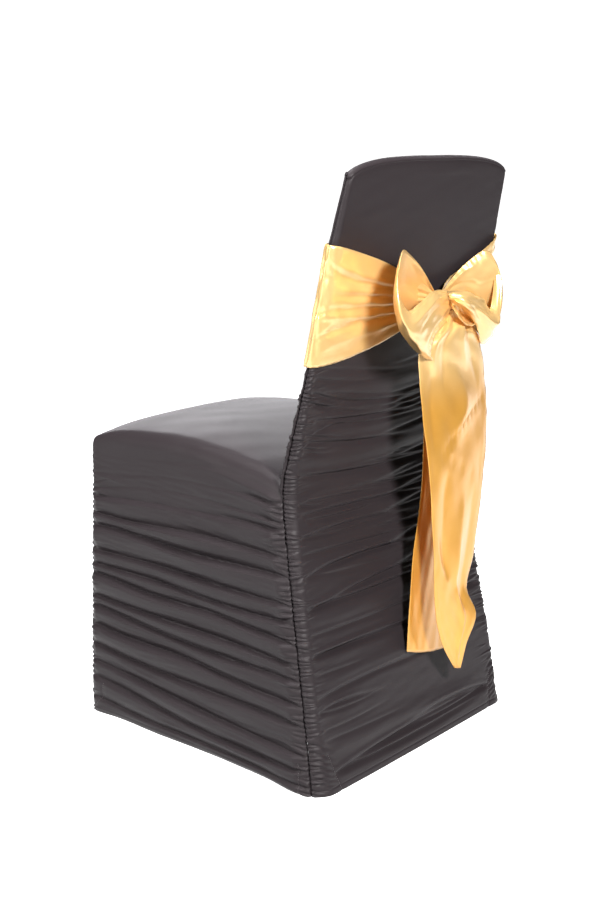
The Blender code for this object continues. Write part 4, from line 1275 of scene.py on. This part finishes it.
def stitches(name, paths, pitch, length, thickness, material):
    """A plain mesh of stitches along some paths."""
    points, edges = [], []
    for path in paths:
        first = len(points)
        points += [tuple(point) for point in path]
        edges += [(k, k + 1) for k in range(first, len(points) - 1)]
    line = bpy.data.meshes.new(name + "_path")
    line.from_pydata(points, edges, [])
    guide = bpy.data.objects.new(name + "_path", line)
    bpy.context.scene.collection.objects.link(guide)
    tree, sockets = stitch_tree(name + "_nodes")
    modifier = guide.modifiers.new("stitches", "NODES")
    modifier.node_group = tree
    for label, value in (("Pitch", pitch), ("Length", length), ("Thickness", thickness),
                         ("Thread", material)):
        modifier[sockets[label]] = value
    graph = bpy.context.evaluated_depsgraph_get()
    mesh = bpy.data.meshes.new_from_object(guide.evaluated_get(graph))
    mesh.name = name
    mesh.shade_smooth()
    guide.modifiers.remove(modifier)
    bpy.data.objects.remove(guide)
    obj = bpy.data.objects.new(name, mesh)
    bpy.context.scene.collection.objects.link(obj)
    return obj


def surface_path(grid, rows, columns, off=0.0004):
    """A path over a grid through fractional rows and columns."""
    lifted = grid + normals(grid) * off
    rows, columns = np.asarray(rows, float), np.asarray(columns, float)
    i = np.clip(rows.astype(int), 0, grid.shape[0] - 2)
    j = np.clip(columns.astype(int), 0, grid.shape[1] - 2)
    s, t = (rows - i)[:, None], (columns - j)[:, None]
    return (lifted[i, j] * (1 - s) * (1 - t) + lifted[i + 1, j] * s * (1 - t)
            + lifted[i, j + 1] * (1 - s) * t + lifted[i + 1, j + 1] * s * t)


def foot_seam_paths():
    """The foot pockets' stitch lines over the outer back and over both sides."""
    back, saddle = GRIDS["outer_back_cloth"], GRIDS["saddle_cloth"]
    rise = np.linspace(0.0, 1.0, 40)
    paths = []
    for corners in (BACK_FOOT_SEAM, SIDE_FOOT_SEAM, FRONT_FOOT_SEAM):
        at = rise * (len(corners) - 1)
        across, z = (np.interp(at, np.arange(len(corners)), each) for each in zip(*corners))
        if corners is BACK_FOOT_SEAM:
            rows = z / GATHERS_END * GATHERED_ROWS
            share = 1.0 - across / half_width(z)
            columns = BACK_HALF_WRAP + np.interp(share, BACK_SHARES, np.arange(len(BACK_SHARES)))
            paths += [surface_path(back, rows, each) for each in
                      (columns, back.shape[1] - 1 - columns)]
            continue
        place = across / (seam_y(z) - FRONT_Y)
        place = place if corners is FRONT_FOOT_SEAM else 1.0 - place
        edge, rounding, _ = seat_edge(place)
        rows = z / (edge - rounding) * (WALL_ROWS - 1)
        columns = np.interp(place, SIDE_PLACES, np.arange(len(SIDE_PLACES)))
        paths += [surface_path(saddle, each, columns) for each in (rows, len(saddle) - 1 - rows)]
    return paths


# ---- Settings ----------------------------------------------------------------
class CoverSettings(bpy.types.PropertyGroup):
    thickness: FloatProperty(name="Thickness", description="Thickness of the stretch cloth",
                             default=0.0009, min=0.0003, max=0.003,
                             subtype="DISTANCE", unit="LENGTH")
    fold_depth: FloatProperty(name="Fold depth", description="How far the long folds stand out",
                              default=2.0, min=0.0, max=2.5, subtype="FACTOR")
    crease_depth: FloatProperty(name="Crease depth",
                                description="How far the creases of the outer back stand out",
                                default=1.9, min=0.0, max=2.0, subtype="FACTOR")
    gather_depth: FloatProperty(name="Gather depth", description="How far the gathers puff out",
                                default=0.0048, min=0.0, max=0.006,
                                subtype="DISTANCE", unit="LENGTH")
    gather_pitch: FloatProperty(name="Gather pitch", description="Mean way from gather to gather",
                                default=0.0084, min=0.005, max=0.03,
                                subtype="DISTANCE", unit="LENGTH")
    colour: FloatVectorProperty(name="Cloth", description="Colour of the stretch cloth", size=3,
                                default=(0.0240, 0.0190, 0.0207), subtype="COLOR", min=0.0, max=1.0)


class SashSettings(bpy.types.PropertyGroup):
    colour: FloatVectorProperty(name="Satin", description="Colour of the sash", size=3,
                                default=(0.84, 0.46, 0.085), subtype="COLOR", min=0.0, max=1.0)
    stitch_pitch: FloatProperty(name="Stitch pitch", description="Way from stitch to stitch",
                                default=0.0035, min=0.001, max=0.01,
                                subtype="DISTANCE", unit="LENGTH")


class StageSettings(bpy.types.PropertyGroup):
    key_power: FloatProperty(name="Key lamp", description="Power of the lamp from the right",
                             default=98.0, min=0.0, unit="POWER")
    side_power: FloatProperty(name="Side lamp", description="Power of the lamp at the cover's side",
                              default=44.0, min=0.0, unit="POWER")
    top_power: FloatProperty(name="Top lamp", description="Power of the lamp overhead",
                             default=66.0, min=0.0, unit="POWER")
    rim_power: FloatProperty(name="Rim lamp", description="Power of the lamp low behind the seat",
                             default=40.0, min=0.0, unit="POWER")
    ambient: FloatProperty(name="Ambient", description="Strength of the light from all round",
                           default=0.08, min=0.0, max=2.0)


# ---- Operators ---------------------------------------------------------------
def finish_material(kind, maker, *values):
    """One material of each kind, made when it is first asked for."""
    key = f"finish_{kind}"
    found = bpy.data.materials.get(bpy.context.scene.get(key, ""))
    if found is None:
        found = maker(*values)
        bpy.context.scene[key] = found.name
    return found


def cloth_material():
    return finish_material("cover", cover_cloth, tuple(bpy.context.scene.chair_cover.colour))


def satin_material():
    return finish_material("sash", sash_satin, tuple(bpy.context.scene.chair_sash.colour))


GRIDS = {}      # the outer face of each cloth, for the stitches to follow


def dress_panel(name, node, grid, sides):
    """Make one panel, attach it to the root, and hide the CAD part it stands for."""
    settings = bpy.context.scene.chair_cover
    grid = flared(grid)
    GRIDS[name] = grid
    obj = piece(name, [sheet_data(tucked(grid, sides), settings.thickness)], cloth_material())
    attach(obj, "root")
    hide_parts(node)


class ADD_OT_saddle_panel(bpy.types.Operator):
    """Make the cloth over the seat and down both sides"""
    bl_idname = "chaircover.saddle_panel"
    bl_label = "Saddle panel"

    def execute(self, context):
        grid = saddle_grid(context.scene.chair_cover)
        dress_panel("saddle_cloth", "saddle_panel", grid, (LEFT, RIGHT))
        return {"FINISHED"}


class ADD_OT_front_skirt(bpy.types.Operator):
    """Make the cloth from the seat's front edge to the hem"""
    bl_idname = "chaircover.front_skirt"
    bl_label = "Front skirt"

    def execute(self, context):
        grid = front_skirt_grid(context.scene.chair_cover)
        dress_panel("front_cloth", "front_skirt", grid, (LEFT, RIGHT, TOP))
        return {"FINISHED"}


class ADD_OT_back_panel(bpy.types.Operator):
    """Make the outer back, from the hem to the top"""
    bl_idname = "chaircover.back_panel"
    bl_label = "Outer back"

    def execute(self, context):
        grid = back_grid(context.scene.chair_cover)
        dress_panel("outer_back_cloth", "back_panel", grid, (LEFT, RIGHT, TOP))
        return {"FINISHED"}


class ADD_OT_inner_back(bpy.types.Operator):
    """Make the inner back, from the seat to the top"""
    bl_idname = "chaircover.inner_back"
    bl_label = "Inner back"

    def execute(self, context):
        grid = inner_back_grid(context.scene.chair_cover)
        dress_panel("inner_back_cloth", "inner_back_panel", grid, (LEFT, RIGHT, TOP, BOTTOM))
        return {"FINISHED"}


class ADD_OT_foot_pockets(bpy.types.Operator):
    """Make the four cups that hold the hem to the feet"""
    bl_idname = "chaircover.foot_pockets"
    bl_label = "Foot pockets"

    def execute(self, context):
        for place, rear in (("front", False), ("rear", True)):
            left = pocket_grid(rear)
            for side, grid in (("left", left), ("right", left[:, ::-1] * (-1, 1, 1))):
                dress_panel(f"{place}_{side}_pocket", f"foot_pocket_{place}_{side}", grid, ())
        return {"FINISHED"}


class ADD_OT_sash(bpy.types.Operator):
    """Make the tied sash: one strip as band, knot, loops and tails"""
    bl_idname = "chaircover.sash"
    bl_label = "Sash"

    def execute(self, context):
        strips = {"band": band_grid(*BAND_STEPS)}
        strips.update((name, strip_grid(*strip)) for name, strip in STRIPS.items())
        GRIDS.update(strips)
        sheets = [sheet_data(raised(grid, np.full(grid.shape[:2], 0.5 * SATIN)), SATIN)
                  for grid in strips.values()]
        sash = piece("satin_sash", sheets + [knot_data()], satin_material())
        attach(sash, "root")
        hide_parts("sash")
        return {"FINISHED"}


class ADD_OT_stitches(bpy.types.Operator):
    """Lay the stitches of the hems and of the foot pockets"""
    bl_idname = "chaircover.stitches"
    bl_label = "Stitches"

    def execute(self, context):
        pitch = context.scene.chair_sash.stitch_pitch
        gold = finish_material("gold_thread", thread, "gold_thread", (0.80, 0.44, 0.11))
        paths = []
        for name, grid in GRIDS.items():
            if name.startswith(("band", "loop", "tail")):
                rows = np.arange(2.0, grid.shape[0] - 2.0)
                width = np.linalg.norm(np.diff(grid, axis=1), axis=-1).sum(axis=1)
                inset = np.interp(rows, np.arange(len(width)), SASH_HEM / np.maximum(width, 0.03))
                last = grid.shape[1] - 1
                for columns in (inset * last, last - inset * last):
                    paths.append(surface_path(grid, rows, columns, 0.5 * SATIN + 0.0001))
        hems = stitches("sash_hem_stitches", paths, pitch, *HEM_STITCH, gold)
        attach(hems, "root")
        grey = finish_material("grey_thread", thread, "grey_thread", (0.17, 0.15, 0.16))
        seams = stitches("foot_seam_stitches", foot_seam_paths(), *FOOT_STITCH, grey)
        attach(seams, "root")
        return {"FINISHED"}


LAMPS = {
    # place, aim, size, colour
    "key": ((1.05, 1.94, 1.58), (0.0, 0.2, 0.50), (0.3, 0.3), (1.0, 0.985, 0.97)),
    "side": ((2.25, -0.55, 1.35), (0.1, 0.0, 0.40), (0.9, 0.9), (1.0, 0.985, 0.97)),
    "top": ((0.35, -0.10, 2.6), (0.1, -0.05, 0.4), (1.0, 1.2), (1.0, 0.98, 1.0)),
    "rim": ((-2.0, -1.7, 1.15), (0.0, 0.0, 0.45), (2.4, 1.2), (0.98, 0.97, 1.0)),
}
VIEW_PLACE, VIEW_YAW, VIEW_PITCH = (1.7014, 1.3999, 0.9475), 3.8362, -0.2217
VIEW_LENS, VIEW_SENSOR = 55.8, 36.0
SURROUND_CORNERS, SURROUND_REACH = 64, 7.0
SURROUND_TOP, SURROUND_PEAK = 3.2, 4.6
FLOOR_Z = -0.0005


def lamp(name, power, place, aim, size, colour):
    data = bpy.data.lights.new(name, "AREA")
    data.shape = "RECTANGLE"
    data.size, data.size_y = size
    data.energy, data.color = power, colour
    obj = bpy.data.objects.new(name, data)
    obj.location = place
    obj.rotation_euler = (Vector(aim) - Vector(place)).to_track_quat("-Z", "Y").to_euler()
    obj.visible_camera = False
    bpy.context.scene.collection.objects.link(obj)


def stage_piece(name, points, faces, colour, roughness, near_glow, far_glow):
    mesh = bpy.data.meshes.new(name)
    mesh.from_pydata(points, [], faces)
    shader = Shader(name)
    place = shader.places()
    cloud = shader.noise(place, 1.6, 3.0)
    low = tuple(each * 0.985 for each in colour)
    shader.feed(Base_Color=shader.mix(cloud, (*low, 1.0), (*colour, 1.0)))
    far = shader.node("ShaderNodeMapRange", {"interpolation_type": "SMOOTHSTEP"},
                      Value=shader.coordinate(place, 1), From_Min=0.95, From_Max=1.25)
    shader.feed(Emission_Color=shader.mix(far, (near_glow,) * 3 + (1.0,), (far_glow,) * 3 + (1.0,)))
    shader.constants(Roughness=roughness, IOR=1.3, Emission_Strength=1.0)
    mesh.materials.append(shader.material)
    mesh.shade_smooth()
    obj = bpy.data.objects.new(name, mesh)
    bpy.context.scene.collection.objects.link(obj)
    return obj


class ADD_OT_stage(bpy.types.Operator):
    """Make the floor, the pale surround, the lamps and the camera"""
    bl_idname = "chaircover.stage"
    bl_label = "Stage"

    def execute(self, context):
        scene, settings = context.scene, context.scene.chair_stage
        ring = SURROUND_CORNERS
        turns = [2 * math.pi * k / ring for k in range(ring)]
        circle = [(SURROUND_REACH * math.cos(each), SURROUND_REACH * math.sin(each))
                  for each in turns]
        floor = stage_piece("studio_floor", [(x, y, FLOOR_Z) for x, y in circle],
                            [tuple(range(ring))], (0.86, 0.86, 0.865), 0.9, 0.93, 0.93)
        floor.visible_diffuse = False
        floor.visible_glossy = False
        mirror = stage_piece("studio_floor_gloss", [(x, y, 2.0 * FLOOR_Z) for x, y in circle],
                             [tuple(range(ring))], (0.86, 0.86, 0.865), 0.9, 1.70, 0.08)
        mirror.visible_diffuse = False
        mirror.visible_camera = False
        wall = [(x, y, z) for z in (FLOOR_Z - 0.5, SURROUND_TOP) for x, y in circle]
        wall.append((0, 0, SURROUND_PEAK))
        faces = [(k, ring + k, ring + (k + 1) % ring, (k + 1) % ring) for k in range(ring)]
        faces += [(ring + k, 2 * ring, ring + (k + 1) % ring) for k in range(ring)]
        surround = stage_piece("studio_surround", wall, faces, (0.9, 0.9, 0.9), 1.0, 0.93, 0.93)
        surround.visible_diffuse = False
        surround.visible_glossy = False
        surround.visible_shadow = False
        scene.world = bpy.data.worlds.new("studio_air")
        scene.world.use_nodes = True
        air = scene.world.node_tree.nodes["Background"]
        air.inputs["Color"].default_value = (1.0, 1.0, 1.0, 1.0)
        air.inputs["Strength"].default_value = settings.ambient
        for name, numbers in LAMPS.items():
            lamp(f"{name}_lamp", getattr(settings, f"{name}_power"), *numbers)
        camera = bpy.data.cameras.new("studio_camera")
        camera.lens, camera.sensor_width = VIEW_LENS, VIEW_SENSOR
        camera.clip_start, camera.clip_end = 0.05, 60.0
        view = bpy.data.objects.new("studio_camera", camera)
        view.location = VIEW_PLACE
        look = Vector((math.cos(VIEW_PITCH) * math.cos(VIEW_YAW),
                       math.cos(VIEW_PITCH) * math.sin(VIEW_YAW), math.sin(VIEW_PITCH)))
        view.rotation_euler = look.to_track_quat("-Z", "Y").to_matrix().to_4x4().to_euler()
        scene.collection.objects.link(view)
        scene.camera = view
        scene.view_settings.view_transform = "Standard"
        return {"FINISHED"}


class VIEW3D_PT_chair_cover(bpy.types.Panel):
    """The pieces and the sizes of the chair cover"""
    bl_idname = "VIEW3D_PT_chair_cover"
    bl_label = "Chair cover with sash"
    bl_space_type = "VIEW_3D"
    bl_region_type = "UI"
    bl_category = "Chair cover"

    def draw(self, context):
        for title, group, operators in (
            ("Cover", "chair_cover", ("saddle_panel", "front_skirt", "back_panel", "inner_back",
                                      "foot_pockets")),
            ("Sash", "chair_sash", ("sash", "stitches")),
            ("Stage", "chair_stage", ("stage",)),
        ):
            box = self.layout.box()
            box.label(text=title)
            settings = getattr(context.scene, group)
            for name in settings.bl_rna.properties.keys():
                if name not in ("rna_type", "name"):
                    box.prop(settings, name)
            for name in operators:
                box.operator(f"chaircover.{name}")


GROUPS = (("chair_cover", CoverSettings), ("chair_sash", SashSettings),
          ("chair_stage", StageSettings))
CLASSES = (ADD_OT_saddle_panel, ADD_OT_front_skirt, ADD_OT_back_panel, ADD_OT_inner_back,
           ADD_OT_foot_pockets, ADD_OT_sash, ADD_OT_stitches, ADD_OT_stage, VIEW3D_PT_chair_cover)


def register():
    for name, group in GROUPS:
        bpy.utils.register_class(group)
        setattr(bpy.types.Scene, name, PointerProperty(type=group))
    for each in CLASSES:
        bpy.utils.register_class(each)


def unregister():
    for each in reversed(CLASSES):
        bpy.utils.unregister_class(each)
    for name, group in reversed(GROUPS):
        delattr(bpy.types.Scene, name)
        bpy.utils.unregister_class(group)


def main():
    register()
    for each in ("saddle_panel", "front_skirt", "back_panel", "inner_back", "foot_pockets", "sash",
                 "stitches", "stage"):
        getattr(bpy.ops.chaircover, each)()
    bpy.context.view_layer.update()


if __name__ == "__main__":
    main()
